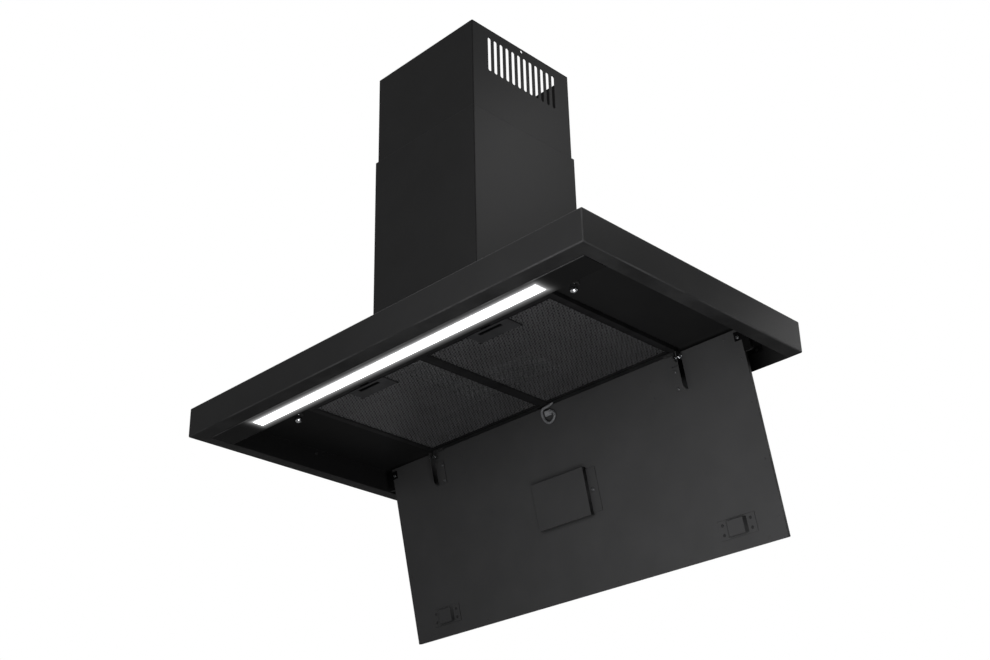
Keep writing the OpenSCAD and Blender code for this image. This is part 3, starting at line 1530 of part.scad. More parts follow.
canopy_shell();
recess_liner();
rear_ties();
tie_rivets();
wall_screws();
light_plate();
light_diffuser();
light_board();
light_cover();
filter_bezel();
ball_studs();
stud_nuts();
hinge_brackets();
hinge_screws();
hinge_pins();
cable_grommet();
lower_chimney();
chimney_screws();
fan_box();
fan_scroll();
fan_motor();
motor_spider();
capacitor();
outlet_collar();
collar_screws();
flap_rod();
corner_rails();
top_plate();
frame_bolts();
power_box();
power_board();
cable_gland();
upper_chimney();
fan_wheel();
motor_shaft();
flap_left();
flap_right();
filter_left();
mesh_left();
latch_plate_left();
latch_slider_left();
filter_right();
mesh_right();
latch_plate_right();
latch_slider_right();
panel_skin();
panel_sheet_inner();
panel_rivets();
hinge_arms();
arm_rivets();
catch_housings();
catch_magnets();
catch_rivets();
control_cover();
cover_screw();
control_board();
touch_window();
side_guides();
cable_plug();
control_cable();
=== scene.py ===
"""Dresses the chimney range hood: makes its visible pieces, gives each its finish, and sets the stage."""

import json
from math import cos, pi, radians, sin

import bmesh
import bpy
from bpy.props import FloatProperty, FloatVectorProperty, IntProperty, PointerProperty
from mathutils import Matrix, Vector


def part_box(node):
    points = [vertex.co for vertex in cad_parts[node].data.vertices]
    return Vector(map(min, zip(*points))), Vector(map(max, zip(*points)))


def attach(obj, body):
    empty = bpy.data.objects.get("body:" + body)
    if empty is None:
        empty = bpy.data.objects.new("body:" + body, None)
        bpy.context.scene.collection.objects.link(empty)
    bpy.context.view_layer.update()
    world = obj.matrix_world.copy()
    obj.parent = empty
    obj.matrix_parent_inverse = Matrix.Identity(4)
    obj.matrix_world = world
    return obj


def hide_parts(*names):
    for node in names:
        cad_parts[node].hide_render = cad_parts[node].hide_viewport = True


bl_info = {
    "name": "Chimney range hood",
    "version": (1, 0, 0),
    "blender": (4, 5, 0),
    "location": "View3D > Sidebar > Hood",
    "description": "Makes the pieces, the finishes and the stage of a chimney range hood",
    "category": "Object",
}

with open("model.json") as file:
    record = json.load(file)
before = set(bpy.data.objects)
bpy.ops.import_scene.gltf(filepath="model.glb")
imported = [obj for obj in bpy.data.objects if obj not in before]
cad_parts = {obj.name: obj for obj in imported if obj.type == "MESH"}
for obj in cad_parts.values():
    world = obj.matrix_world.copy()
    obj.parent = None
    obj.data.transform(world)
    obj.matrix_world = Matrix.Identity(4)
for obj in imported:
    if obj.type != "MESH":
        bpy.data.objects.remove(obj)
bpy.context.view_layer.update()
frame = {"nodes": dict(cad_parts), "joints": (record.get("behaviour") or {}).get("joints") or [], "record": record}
NODES = frame["nodes"]
BODY_OF = {node: body for body, nodes in frame["record"]["behaviour"]["bodies"].items() for node in nodes}
JOINTS = {joint["name"]: joint for joint in frame["joints"]}
MM = 0.001
IDENTITY = Matrix.Identity(4)
UP, DOWN, RIGHT, FRONT = Vector((0, 0, 1)), Vector((0, 0, -1)), Vector((1, 0, 0)), Vector((0, -1, 0))
BLACK, WHITE = (0, 0, 0, 1), (1, 1, 1, 1)

# The panel's own axes: X across, -Y down the panel and Z off its inner face
HINGE = Vector(JOINTS["panel_hinge"]["pos_m"])
PANEL_OPEN = radians(-JOINTS["panel_hinge"]["range_deg"][0])
HINGE_BACK, HINGE_OFF = 9.2 * MM, 6.3 * MM
PANEL = (Matrix.Translation(HINGE) @ Matrix.Rotation(PANEL_OPEN, 4, "X")
         @ Matrix.Translation((0, HINGE_BACK, -HINGE_OFF)))
OFF_PANEL = PANEL.inverted()

# Height of the canopy's bottom edge
EDGE_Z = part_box("canopy_shell")[0].z
# Width of the diffuser's hidden edge, and how far the slot's edge lies inside the diffuser's
DIFFUSER_LIP = 3 * MM
SLOT_INSET = DIFFUSER_LIP + 0.2 * MM
# Ball studs: radius of the neck, and the hexagon's radius and thickness, its nut's too
STUD_R, STUD_HEX_R, STUD_HEX_T = 3.5 * MM, 9 * MM, 4 * MM
# Heights of the heads of screws, rivets, the panel's small rivets and the frame's bolts
SCREW_T, RIVET_T, DOT_T, BOLT_T = 1.8 * MM, 1 * MM, 0.6 * MM, 3.5 * MM
# Points nearer than this are one, and no turned profile is thinner than this
MERGE, THINNEST = 0.002 * MM, 0.01 * MM
# What every bevel shares
BEVEL = {"offset_type": "OFFSET", "profile": 0.5, "affect": "EDGES"}
# Seed of the heads' random turns, and the angle in degrees over which their edges stay crisp
TURN_SEED, HEAD_SHARP = 7, 32


# Settings, and what several of them share

COLOUR = {"subtype": "COLOR", "size": 3, "min": 0, "max": 1}
LENGTH = {"unit": "LENGTH", "precision": 5}
PITCH = {"min": 2 * MM, "max": 8 * MM, **LENGTH}
ANGLE = {"min": radians(20), "max": radians(70), "unit": "ROTATION"}
POWER = {"min": 0, "max": 500, "unit": "POWER"}


class HoodColours(bpy.types.PropertyGroup):
    """Colours of the finishes"""
    sheet: FloatVectorProperty(
        name="Powder coat", description="Colour of the black sheet", default=(0.0170, 0.0170, 0.0173), **COLOUR)
    zinc: FloatVectorProperty(
        name="Zinc", description="Colour of the zinc-plated steel", default=(0.52, 0.53, 0.55), **COLOUR)
    chrome: FloatVectorProperty(
        name="Chrome", description="Colour of the bright pins and studs", default=(0.62, 0.63, 0.65), **COLOUR)
    filter: FloatVectorProperty(
        name="Filter metal", description="Colour of the filters' frames", default=(0.0085, 0.0085, 0.0088), **COLOUR)
    strand: FloatVectorProperty(
        name="Filter strands", description="Colour of the filters' mesh", default=(0.19, 0.19, 0.195), **COLOUR)
    plastic: FloatVectorProperty(
        name="Black plastic", description="Colour of the moulded pieces", default=(0.0080, 0.0080, 0.0084), **COLOUR)
    cable: FloatVectorProperty(
        name="Cable", description="Colour of the panel's cable", default=(0.075, 0.076, 0.08), **COLOUR)
    light: FloatVectorProperty(
        name="Light", description="Colour of the lit diffuser", default=(1.0, 1.0, 1.0), **COLOUR)


class HoodSizes(bpy.types.PropertyGroup):
    """Sizes of the visible pieces"""
    edge: FloatProperty(
        name="Edge", description="Rounding of cut sheet edges", default=0.25 * MM, min=0.05 * MM, max=0.5 * MM,
        **LENGTH)
    bend: FloatProperty(
        name="Bend", description="Outer radius of the canopy's folds", default=2.2 * MM, min=1.3 * MM, max=2.4 * MM,
        **LENGTH)
    long_pitch: FloatProperty(
        name="Long mesh pitch", description="Distance between the strands of the mesh with long diamonds",
        default=4.69 * MM, **PITCH)
    long_angle: FloatProperty(
        name="Long mesh angle", description="Turn of those strands from the filter's depth", default=radians(33.1),
        **ANGLE)
    wide_pitch: FloatProperty(
        name="Wide mesh pitch", description="Distance between the strands of the mesh with wide diamonds",
        default=4.62 * MM, **PITCH)
    wide_angle: FloatProperty(
        name="Wide mesh angle", description="Turn of those strands from the filter's depth", default=radians(67.4),
        **ANGLE)
    strand_width: FloatProperty(
        name="Strand width", description="Width of a strand of the filter's mesh", default=0.7 * MM, min=0.3 * MM,
        max=2 * MM, **LENGTH)
    crown: FloatProperty(
        name="Diffuser crown", description="Height of the diffuser's crown", default=0.8 * MM, min=0, max=1.5 * MM,
        **LENGTH)
    blades: IntProperty(name="Blades", description="Number of blades on the fan wheel", default=30, min=20, max=44)


class HoodStage(bpy.types.PropertyGroup):
    """Camera, lamps and floor"""
    lens: FloatProperty(
        name="Lens", description="Focal length of the camera", default=53.10, min=20, max=200, unit="CAMERA")
    camera_at: FloatVectorProperty(
        name="Camera place", description="Place of the camera", default=(1.523993, -1.513409, -1.478445), size=3,
        subtype="TRANSLATION", unit="LENGTH")
    camera_turn: FloatVectorProperty(
        name="Camera turn", description="Axis of the camera's turn, as long as its angle in radians",
        default=(1.90544173, 0.80632516, 0.46817011), size=3)
    floor_z: FloatProperty(
        name="Floor height", description="Height of the floor", default=-1.95, min=-3, max=-1.6, unit="LENGTH")
    floor_size: FloatProperty(
        name="Floor size", description="Width of the floor", default=16, min=4, max=60, unit="LENGTH")
    sky: FloatProperty(
        name="Sky", description="Strength of the even light around the object", default=0.20, min=0, max=2)
    front: FloatProperty(
        name="Front lamp", description="Power of the lamp in front and to the left", default=11.4, **POWER)
    edge: FloatProperty(
        name="Edge lamp", description="Power of the lamp near the right end of the front", default=4.4, **POWER)
    low: FloatProperty(name="Low lamp", description="Power of the lamp below the filters", default=5.6, **POWER)
    rear: FloatProperty(
        name="Rear lamp", description="Power of the lamp at the right and behind", default=2.4, **POWER)
    high: FloatProperty(
        name="High lamp", description="Power of the lamp at the right and above", default=4.8, **POWER)


# Mesh tools

def placed(name, data):
    """A new object in the scene."""
    thing = bpy.data.objects.new(name, data)
    bpy.context.scene.collection.objects.link(thing)
    return thing


def finished(name, node, mesh, paint=None):
    """Makes a piece of a mesh that stands for a node, with its finish and the node's body."""
    thing = placed(name, mesh)
    if paint:
        mesh.materials.clear()
        mesh.materials.append(paint)
    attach(thing, BODY_OF[node])
    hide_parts(node)


def piece(bm, node, kind, sharp=35, outward=True, name=None):
    """Makes a piece of a bmesh that stands for a node."""
    name = name or node + "_made"
    finished(name, node, as_mesh(bm, name, sharp, outward), finish(kind))


def dressed(node, kind, edge=None, steps=2):
    """A softened copy of a CAD node with its finish, in the node's place."""
    edge = bpy.context.scene.hood_sizes.edge if edge is None else edge
    piece(softened(node, edge, steps), node, kind, outward=False)


def shaded(mesh, sharp):
    """Smooth shading, with edges sharper than the angle left crisp."""
    for face in mesh.polygons:
        face.use_smooth = True
    mesh.set_sharp_from_angle(angle=radians(sharp))
    return mesh


def applied(mesh, kind, values=(), **settings):
    """The mesh that comes out of one modifier, with its settings and, for a tree, the tree's inputs by name."""
    holder = placed(mesh.name + "_holder", mesh)
    modifier = holder.modifiers.new("Step", kind)
    for name, value in settings.items():
        setattr(modifier, name, value)
    for item in modifier.node_group.interface.items_tree if values else ():
        if item.item_type == "SOCKET" and item.in_out == "INPUT" and item.name in values:
            modifier[item.identifier] = values[item.name]
    graph = bpy.context.evaluated_depsgraph_get()
    made = bpy.data.meshes.new_from_object(holder.evaluated_get(graph), depsgraph=graph)
    holder.modifiers.clear()
    bpy.data.objects.remove(holder)
    return made


def as_mesh(bm, name, sharp=35, outward=True):
    """The bmesh as a shaded mesh, its normals weighed by face area so that flat faces stay flat beside round edges."""
    bmesh.ops.remove_doubles(bm, verts=bm.verts, dist=MERGE)
    if outward:
        bmesh.ops.recalc_face_normals(bm, faces=bm.faces)
    mesh = bpy.data.meshes.new(name)
    bm.to_mesh(mesh)
    bm.free()
    return applied(shaded(mesh, sharp), "WEIGHTED_NORMAL", keep_sharp=True)


def merged(node):
    """A CAD node's mesh as a bmesh whose faces share their points."""
    bm = bmesh.new()
    bm.from_mesh(NODES[node].data)
    bmesh.ops.remove_doubles(bm, verts=bm.verts, dist=MERGE)
    return bm


def softened(node, edge, steps):
    """A merged copy of a CAD node's mesh with its sharp edges rounded."""
    flat, sharp = radians(0.6), radians(28)
    bm = merged(node)
    bmesh.ops.dissolve_limit(bm, angle_limit=flat, verts=bm.verts, edges=bm.edges)
    crisp = [e for e in bm.edges if len(e.link_faces) == 2 and abs(e.calc_face_angle(0)) > sharp]
    bmesh.ops.bevel(bm, geom=crisp, offset=edge, segments=steps, clamp_overlap=False, miter_outer="ARC", **BEVEL)
    return bm


def block(bm, low, high, edge=0.0, steps=2, place=IDENTITY):
    """Adds a block between two corners, with rounded edges."""
    low, high = Vector(low), Vector(high)
    size = Matrix.Diagonal((*(high - low), 1))
    made = bmesh.ops.create_cube(bm, size=1, matrix=Matrix.Translation((low + high) / 2) @ size)["verts"]
    if edge:
        edges = list({e for v in made for e in v.link_edges})
        rounded = bmesh.ops.bevel(bm, geom=edges, offset=edge, segments=steps, clamp_overlap=True, **BEVEL)["verts"]
        made = rounded + [v for v in made if v.is_valid]
    bmesh.ops.transform(bm, matrix=place, verts=list({v for v in made if v.is_valid}))


def arc(x, y, reach_x, reach_y, angles):
    """Points of an arc in a profile, by its centre, its reach each way and its angles in degrees."""
    return [(x + reach_x * cos(radians(a)), y + reach_y * sin(radians(a))) for a in angles]


def thread(r, depth, low, high, turns, land):
    """Points of a thread's ridges in a profile."""
    heights = [low + (high - low) * (k + 0.5) / turns for k in range(turns)]
    return [point for z in heights for point in ((r, z - land), (r - depth, z))]


def rounded_ring(x0, x1, y0, y1, r, z, steps=5):
    """Points of a rectangle with round corners, at one height."""
    corners = ((x1 - r, y1 - r, 0), (x0 + r, y1 - r, 90), (x0 + r, y0 + r, 180), (x1 - r, y0 + r, 270))
    return [Vector((x, y, z)) for cx, cy, start in corners
            for x, y in arc(cx, cy, r, r, [start + 90 * k / steps for k in range(steps + 1)])]


def inset_ring(box, inset, z, corner):
    """Points of a box's outline at one height, drawn in all round, with its corners' radius as it then is."""
    (x0, y0), (x1, y1) = (point.xy for point in box)
    return rounded_ring(x0 + inset, x1 - inset, y0 + inset, y1 - inset, max(corner - inset, 0.3 * MM), z)


def circle_ring(r, z, sides):
    """Points of a circle round Z."""
    return [Vector((r * cos(2 * pi * k / sides), r * sin(2 * pi * k / sides), z)) for k in range(sides)]


def hex_ring(r, z, steps=4):
    """Points of a hexagon round Z, with so many to a side."""
    corners = circle_ring(r, z, 6)
    return [corners[k - 1].lerp(corners[k % 6], s / steps) for k in range(1, 7) for s in range(steps)]


def clipped_hex(r, z, limit):
    """A hexagon's ring whose corners are turned down to a circle."""
    return [Vector((*(p.xy * min(1.0, limit / p.xy.length)), z)) for p in hex_ring(r, z)]


def loft(rings, closed=False, caps=False, place=IDENTITY, bm=None):
    """Joins rings of points, one after the other, into a skin of a bmesh or of a new one."""
    bm = bm or bmesh.new()
    loops = [[bm.verts.new(place @ p) for p in ring] for ring in rings]
    for a, b in list(zip(loops, loops[1:])) + ([(loops[-1], loops[0])] if closed else []):
        for k in range(len(a)):
            j = (k + 1) % len(a)
            bm.faces.new((a[k], a[j], b[j], b[k]))
    if caps:
        bm.faces.new(loops[0])
        bm.faces.new(loops[-1])
    return bm


def turned(profile, sides, place=IDENTITY, hollow=False, bm=None):
    """Turns a profile of (radius, height) points round Z, capped at both ends or hollow."""
    return loft([circle_ring(max(r, THINNEST), z, sides) for r, z in profile], hollow, not hollow, place, bm)


def along_x(point):
    """The place of a piece turned round Z whose axis is laid along X."""
    return Matrix.Translation(point) @ Matrix.Rotation(pi / 2, 4, "Y")


def islands(node, into=IDENTITY):
    """The boxes of a node's separate solids, in the axes of a matrix."""
    bm = merged(node)
    boxes, left = [], set(bm.verts)
    while left:
        points, ahead = [], [left.pop()]
        while ahead:
            v = ahead.pop()
            points.append(into @ v.co)
            near = {e.other_vert(v) for e in v.link_edges} & left
            left -= near
            ahead += near
        boxes.append([Vector([least(p[i] for p in points) for i in range(3)]) for least in (min, max)])
    bm.free()
    return sorted(boxes, key=lambda box: tuple(round(c, 5) for c in box[0]))


def head_spots(node, aim, head_t, into, keep):
    """Where each head of a node's fasteners starts, and its direction, for the solids that are kept."""
    back = into.inverted()
    spots = []
    for low, high in islands(node, into):
        if keep is None or keep(low, high):
            reach = sum(abs(a) * size / 2 for a, size in zip(aim, high - low)) - head_t
            spots.append((back @ ((low + high) / 2 + aim * reach), (back.to_3x3() @ aim).normalized()))
    return spots


# Node tools

def feed(tree, value, socket):
    """Links an output to a socket, or sets the socket to a value."""
    if isinstance(value, bpy.types.NodeSocket):
        tree.links.new(value, socket)
    else:
        socket.default_value = value


def added(tree, kind, inputs=(), **settings):
    """A new node with its settings, and its inputs fed by name or number."""
    node = tree.nodes.new(kind)
    for name, value in settings.items():
        setattr(node, name, value)
    for key, value in dict(inputs).items():
        feed(tree, value, node.inputs[key])
    return node


def sums(tree):
    """Math nodes in a tree: a function of an operation and its outputs or numbers, which gives the result."""
    def result(operation, *values):
        return added(tree, "ShaderNodeMath", enumerate(values), operation=operation).outputs[0]
    return result


def vector_of(tree, x, y, z):
    """A vector of three outputs or numbers."""
    return added(tree, "ShaderNodeCombineXYZ", enumerate((x, y, z))).outputs[0]


def separated(tree, vector):
    """The three parts of a vector."""
    return list(added(tree, "ShaderNodeSeparateXYZ", {"Vector": vector}).outputs)


def noise(tree, vector, scale, detail, rough=0.5):
    """A noise texture on a vector; gives its factor."""
    return added(tree, "ShaderNodeTexNoise", {
        "Vector": vector, "Scale": scale, "Detail": detail, "Roughness": rough}).outputs["Fac"]


def spread(tree, value, low, high):
    """A value's share of the way from a low to a high one, kept between 0 and 1."""
    return added(tree, "ShaderNodeMapRange", {"Value": value, "From Min": low, "From Max": high}).outputs["Result"]


def rgba(colour):
    """A colour with its full alpha."""
    return (*colour[:3], 1)


def tinted(colour, factor):
    """A colour made lighter or darker."""
    return tuple(min(1.0, c * factor) for c in colour[:3])


def mixed(tree, factor, a, b):
    """The mix of two colours, each an output or a value."""
    node = added(tree, "ShaderNodeMix", {"Factor": factor}, data_type="RGBA")
    for value, socket in zip((a, b), [s for s in node.inputs if s.type == "RGBA"]):
        feed(tree, value if isinstance(value, bpy.types.NodeSocket) else rgba(value), socket)
    return next(s for s in node.outputs if s.type == "RGBA")


def empty_tree(kind, name, inputs, outputs):
    """An empty tree with named sockets; also gives its given values and the sockets where it ends."""
    tree = bpy.data.node_groups.new(name, kind)
    for label, sort, default in inputs:
        socket = tree.interface.new_socket(label, in_out="INPUT", socket_type="NodeSocket" + sort)
        if default is not None:
            socket.default_value = default
    for label, sort in outputs:
        tree.interface.new_socket(label, in_out="OUTPUT", socket_type="NodeSocket" + sort)
    return tree, tree.nodes.new("NodeGroupInput").outputs, tree.nodes.new("NodeGroupOutput").inputs


def geometry_tree(name, inputs):
    """An empty geometry tree that takes a finish besides its inputs."""
    return empty_tree("GeometryNodeTree", name, [
        ("Geometry", "Geometry", None), *inputs, ("Finish", "Material", None)], [("Geometry", "Geometry")])


def closed_tree(tree, copies, given, out):
    """Realises the copies, sets the finish and ends the tree."""
    real = added(tree, "GeometryNodeRealizeInstances", {"Geometry": copies.outputs["Instances"]})
    paint = added(tree, "GeometryNodeSetMaterial", {"Geometry": real.outputs["Geometry"], "Material": given["Finish"]})
    feed(tree, paint.outputs["Geometry"], out["Geometry"])
    return tree


def shared_tree(name):
    """The tree of that name, made once."""
    return bpy.data.node_groups.get(name) or TREES[name](name)


def grown(tree_name, name, values, mesh=None):
    """The plain mesh that a shared tree makes on a mesh, or on an empty one, with named values."""
    if mesh is None:
        mesh = bpy.data.meshes.new(name + "_seed")
    made = applied(mesh, "NODES", values, node_group=shared_tree(tree_name))
    made.name = name
    return made


# Geometry trees

def heads_tree(name):
    """One head on each point, along the point's own direction, turned at random about it."""
    tree, given, out = geometry_tree(name, [("Head", "Object", None), ("Turn Seed", "Int", TURN_SEED)])
    points = added(tree, "GeometryNodeMeshToPoints", {"Mesh": given["Geometry"]})
    aim = added(tree, "GeometryNodeInputNamedAttribute", {"Name": "aim"}, data_type="FLOAT_VECTOR")
    turn = added(tree, "FunctionNodeAlignRotationToVector", {"Vector": aim.outputs["Attribute"]}, axis="Z")
    head = added(tree, "GeometryNodeObjectInfo", {"Object": given["Head"], "As Instance": True})
    copies = added(tree, "GeometryNodeInstanceOnPoints", {
        "Points": points.outputs["Points"], "Instance": head.outputs["Geometry"],
        "Rotation": turn.outputs["Rotation"]})
    angle = added(tree, "FunctionNodeRandomValue", {"Seed": given["Turn Seed"]}, data_type="FLOAT")
    for limit, socket in zip((0.0, 2 * pi), [s for s in angle.inputs if s.enabled]):
        socket.default_value = limit
    spin = vector_of(tree, 0.0, 0.0, next(s for s in angle.outputs if s.enabled))
    spun = added(tree, "GeometryNodeRotateInstances", {
        "Instances": copies.outputs["Instances"], "Rotation": spin, "Local Space": True})
    return closed_tree(tree, spun, given, out)


def strands_tree(name):
    """Parallel strands across a rectangle, each cut to the rectangle's edges."""
    tree, given, out = geometry_tree(name, [
        ("Half Width", "Float", 0.1), ("Half Depth", "Float", 0.1), ("Pitch", "Float", 0.003),
        ("Shift", "Float", 0.0), ("Angle", "Float", 0.9), ("Strand Width", "Float", 0.001),
        ("Strand Height", "Float", 0.0005), ("Strands", "Int", 100)])
    do = sums(tree)
    width, depth, turn = given["Half Width"], given["Half Depth"], given["Angle"]
    line = added(tree, "GeometryNodeMeshLine", {"Count": given["Strands"], "Offset": (0, 0, 0)})
    index = added(tree, "GeometryNodeInputIndex").outputs["Index"]
    half_count = do("MULTIPLY", do("SUBTRACT", given["Strands"], 1.0), 0.5)
    offset = do("MULTIPLY_ADD", do("SUBTRACT", index, half_count), given["Pitch"], given["Shift"])
    sine, cosine = do("SINE", turn), do("COSINE", turn)
    # Along the strand, x = offset cosine - s sine and y = offset sine + s cosine
    across, up = do("MULTIPLY", offset, cosine), do("MULTIPLY", offset, sine)
    x_ends = [do("DIVIDE", do(way, across, width), sine) for way in ("SUBTRACT", "ADD")]
    y_ends = [do("DIVIDE", do("SUBTRACT", end, up), cosine) for end in (do("MULTIPLY", depth, -1.0), depth)]
    first = do("MAXIMUM", do("MINIMUM", *x_ends), do("MINIMUM", *y_ends))
    last = do("MINIMUM", do("MAXIMUM", *x_ends), do("MAXIMUM", *y_ends))
    length = do("SUBTRACT", last, first)
    middle = do("MULTIPLY", do("ADD", first, last), 0.5)
    spot = vector_of(tree, do("SUBTRACT", across, do("MULTIPLY", middle, sine)),
                     do("ADD", up, do("MULTIPLY", middle, cosine)), 0.0)
    place = added(tree, "GeometryNodeSetPosition", {"Geometry": line.outputs["Mesh"], "Position": spot})
    keep = added(tree, "GeometryNodeStoreNamedAttribute", {"Name": "reach"}, data_type="FLOAT", domain="POINT")
    feed(tree, place.outputs["Geometry"], keep.inputs["Geometry"])
    feed(tree, length, keep.inputs["Value"])
    short = added(tree, "FunctionNodeCompare", {"A": length, "B": 2 * MM}, data_type="FLOAT", operation="LESS_THAN")
    drop = added(tree, "GeometryNodeDeleteGeometry", {
        "Geometry": keep.outputs["Geometry"], "Selection": short.outputs["Result"]})
    reach = added(tree, "GeometryNodeInputNamedAttribute", {"Name": "reach"}, data_type="FLOAT")
    strand = added(tree, "GeometryNodeMeshCube", {"Size": (1, 1, 1)})
    size = vector_of(tree, reach.outputs["Attribute"], given["Strand Width"], given["Strand Height"])
    copies = added(tree, "GeometryNodeInstanceOnPoints", {
        "Points": drop.outputs["Geometry"], "Instance": strand.outputs["Mesh"],
        "Rotation": vector_of(tree, 0.0, 0.0, do("ADD", turn, pi / 2)), "Scale": size})
    return closed_tree(tree, copies, given, out)


def blades_tree(name):
    """Curved blades round Z."""
    tree, given, out = geometry_tree(name, [
        ("Blades", "Int", 30), ("Inner Radius", "Float", 0.063), ("Outer Radius", "Float", 0.0744),
        ("Width", "Float", 0.1), ("Thickness", "Float", 0.001), ("Lean", "Float", 0.6)])
    do = sums(tree)
    inner, outer = given["Inner Radius"], given["Outer Radius"]
    span = do("SUBTRACT", outer, inner)
    lean = do("MULTIPLY", span, given["Lean"])
    curve = added(tree, "GeometryNodeCurvePrimitiveBezierSegment", {
        "Resolution": 7, "Start": vector_of(tree, inner, 0.0, 0.0),
        "Start Handle": vector_of(tree, do("ADD", inner, do("MULTIPLY", span, 0.5)), 0.0, 0.0),
        "End Handle": vector_of(tree, outer, do("MULTIPLY", lean, 0.5), 0.0),
        "End": vector_of(tree, do("MULTIPLY", outer, 0.995), lean, 0.0)})
    profile = added(tree, "GeometryNodeCurvePrimitiveQuadrilateral", {
        "Width": given["Thickness"], "Height": given["Width"]})
    blade = added(tree, "GeometryNodeCurveToMesh", {
        "Fill Caps": True, "Curve": curve.outputs["Curve"], "Profile Curve": profile.outputs["Curve"]})
    ring = added(tree, "GeometryNodeMeshCircle", {"Radius": 0.0, "Vertices": given["Blades"]})
    index = added(tree, "GeometryNodeInputIndex").outputs["Index"]
    angle = do("DIVIDE", do("MULTIPLY", index, 2 * pi), given["Blades"])
    copies = added(tree, "GeometryNodeInstanceOnPoints", {
        "Points": ring.outputs["Mesh"], "Instance": blade.outputs["Mesh"],
        "Rotation": vector_of(tree, 0.0, 0.0, angle)})
    return closed_tree(tree, copies, given, out)


# Shader groups

def shader_group(name, inputs, *outputs):
    """An empty shader group that takes a vector besides its inputs."""
    return empty_tree("ShaderNodeTree", name, [("Vector", "Vector", None), *inputs], outputs)


def handling_group(name):
    """Soft patches of colour and roughness, as cleaning and handling leave them."""
    tree, given, out = shader_group(name, [
        ("Colour", "Color", None), ("Patch Colour", "Color", None), ("Roughness", "Float", 0.4),
        ("Roughness Spread", "Float", 0.08), ("Patch Scale", "Float", 14.0)],
        ("Colour", "Color"), ("Roughness", "Float"))
    do = sums(tree)
    wide = noise(tree, given["Vector"], given["Patch Scale"], 4.0, 0.55)
    fine = noise(tree, given["Vector"], do("MULTIPLY", given["Patch Scale"], 23.0), 3.0)
    both = do("ADD", do("SUBTRACT", wide, 0.5), do("MULTIPLY", do("SUBTRACT", fine, 0.5), 0.6))
    colour = mixed(tree, spread(tree, wide, 0.38, 0.66), given["Colour"], given["Patch Colour"])
    feed(tree, colour, out["Colour"])
    feed(tree, do("ADD", given["Roughness"], do("MULTIPLY", both, given["Roughness Spread"])), out["Roughness"])
    return tree


def pebble_group(name):
    """The pebbled skin of powder coat or moulded plastic, as a height."""
    tree, given, out = shader_group(name, [("Scale", "Float", 900.0), ("Grit", "Float", 0.35)], ("Height", "Float"))
    do = sums(tree)
    pebble = noise(tree, given["Vector"], given["Scale"], 1.0, 0.4)
    grit = noise(tree, given["Vector"], do("MULTIPLY", given["Scale"], 3.7), 2.0)
    feed(tree, do("ADD", pebble, do("MULTIPLY", grit, given["Grit"])), out["Height"])
    return tree


def grain_group(name):
    """Fine lines along one direction, as rolling and brushing leave in metal."""
    tree, given, out = shader_group(name, [("Stretch", "Vector", None), ("Scale", "Float", 60.0)], ("Height", "Float"))
    product = added(tree, "ShaderNodeVectorMath", {0: given["Vector"], 1: given["Stretch"]}, operation="MULTIPLY")
    feed(tree, noise(tree, product.outputs["Vector"], given["Scale"], 5.0, 0.62), out["Height"])
    return tree


def spangle_group(name):
    """The crystal patches of zinc plating."""
    tree, given, out = shader_group(name, [
        ("Scale", "Float", 140.0), ("Colour", "Color", None), ("Dark Colour", "Color", None)], ("Colour", "Color"))
    cells = added(tree, "ShaderNodeTexVoronoi", {"Vector": given["Vector"], "Scale": given["Scale"]})
    tone = added(tree, "ShaderNodeSeparateColor", {"Color": cells.outputs["Color"]}).outputs["Red"]
    feed(tree, mixed(tree, tone, given["Dark Colour"], given["Colour"]), out["Colour"])
    return tree


def edges_group(name):
    """The mask of a box's edges, one at an edge and nothing a width away from it."""
    tree, given, out = shader_group(name, [
        ("Centre", "Vector", (0, 0, 0)), ("Half", "Vector", (1, 1, 1)), ("Width", "Float", 0.002)],
        ("Mask", "Float"))
    do = sums(tree)
    near = []
    for at, middle, half in zip(*(separated(tree, given[label]) for label in ("Vector", "Centre", "Half"))):
        away = do("SUBTRACT", half, do("ABSOLUTE", do("SUBTRACT", at, middle)))
        share = do("MINIMUM", do("ABSOLUTE", do("DIVIDE", away, given["Width"])), 1.0)
        near.append(do("SUBTRACT", 1.0, share))
    pairs = [do("MULTIPLY", near[k], near[k - 1]) for k in range(3)]
    feed(tree, do("MAXIMUM", do("MAXIMUM", pairs[0], pairs[1]), pairs[2]), out["Mask"])
    return tree


TREES = {"Fastener heads": heads_tree, "Strand mat": strands_tree, "Wheel blades": blades_tree,
         "Handling marks": handling_group, "Pebbled skin": pebble_group, "Drawn grain": grain_group,
         "Zinc spangle": spangle_group, "Box edges": edges_group}


# Finishes

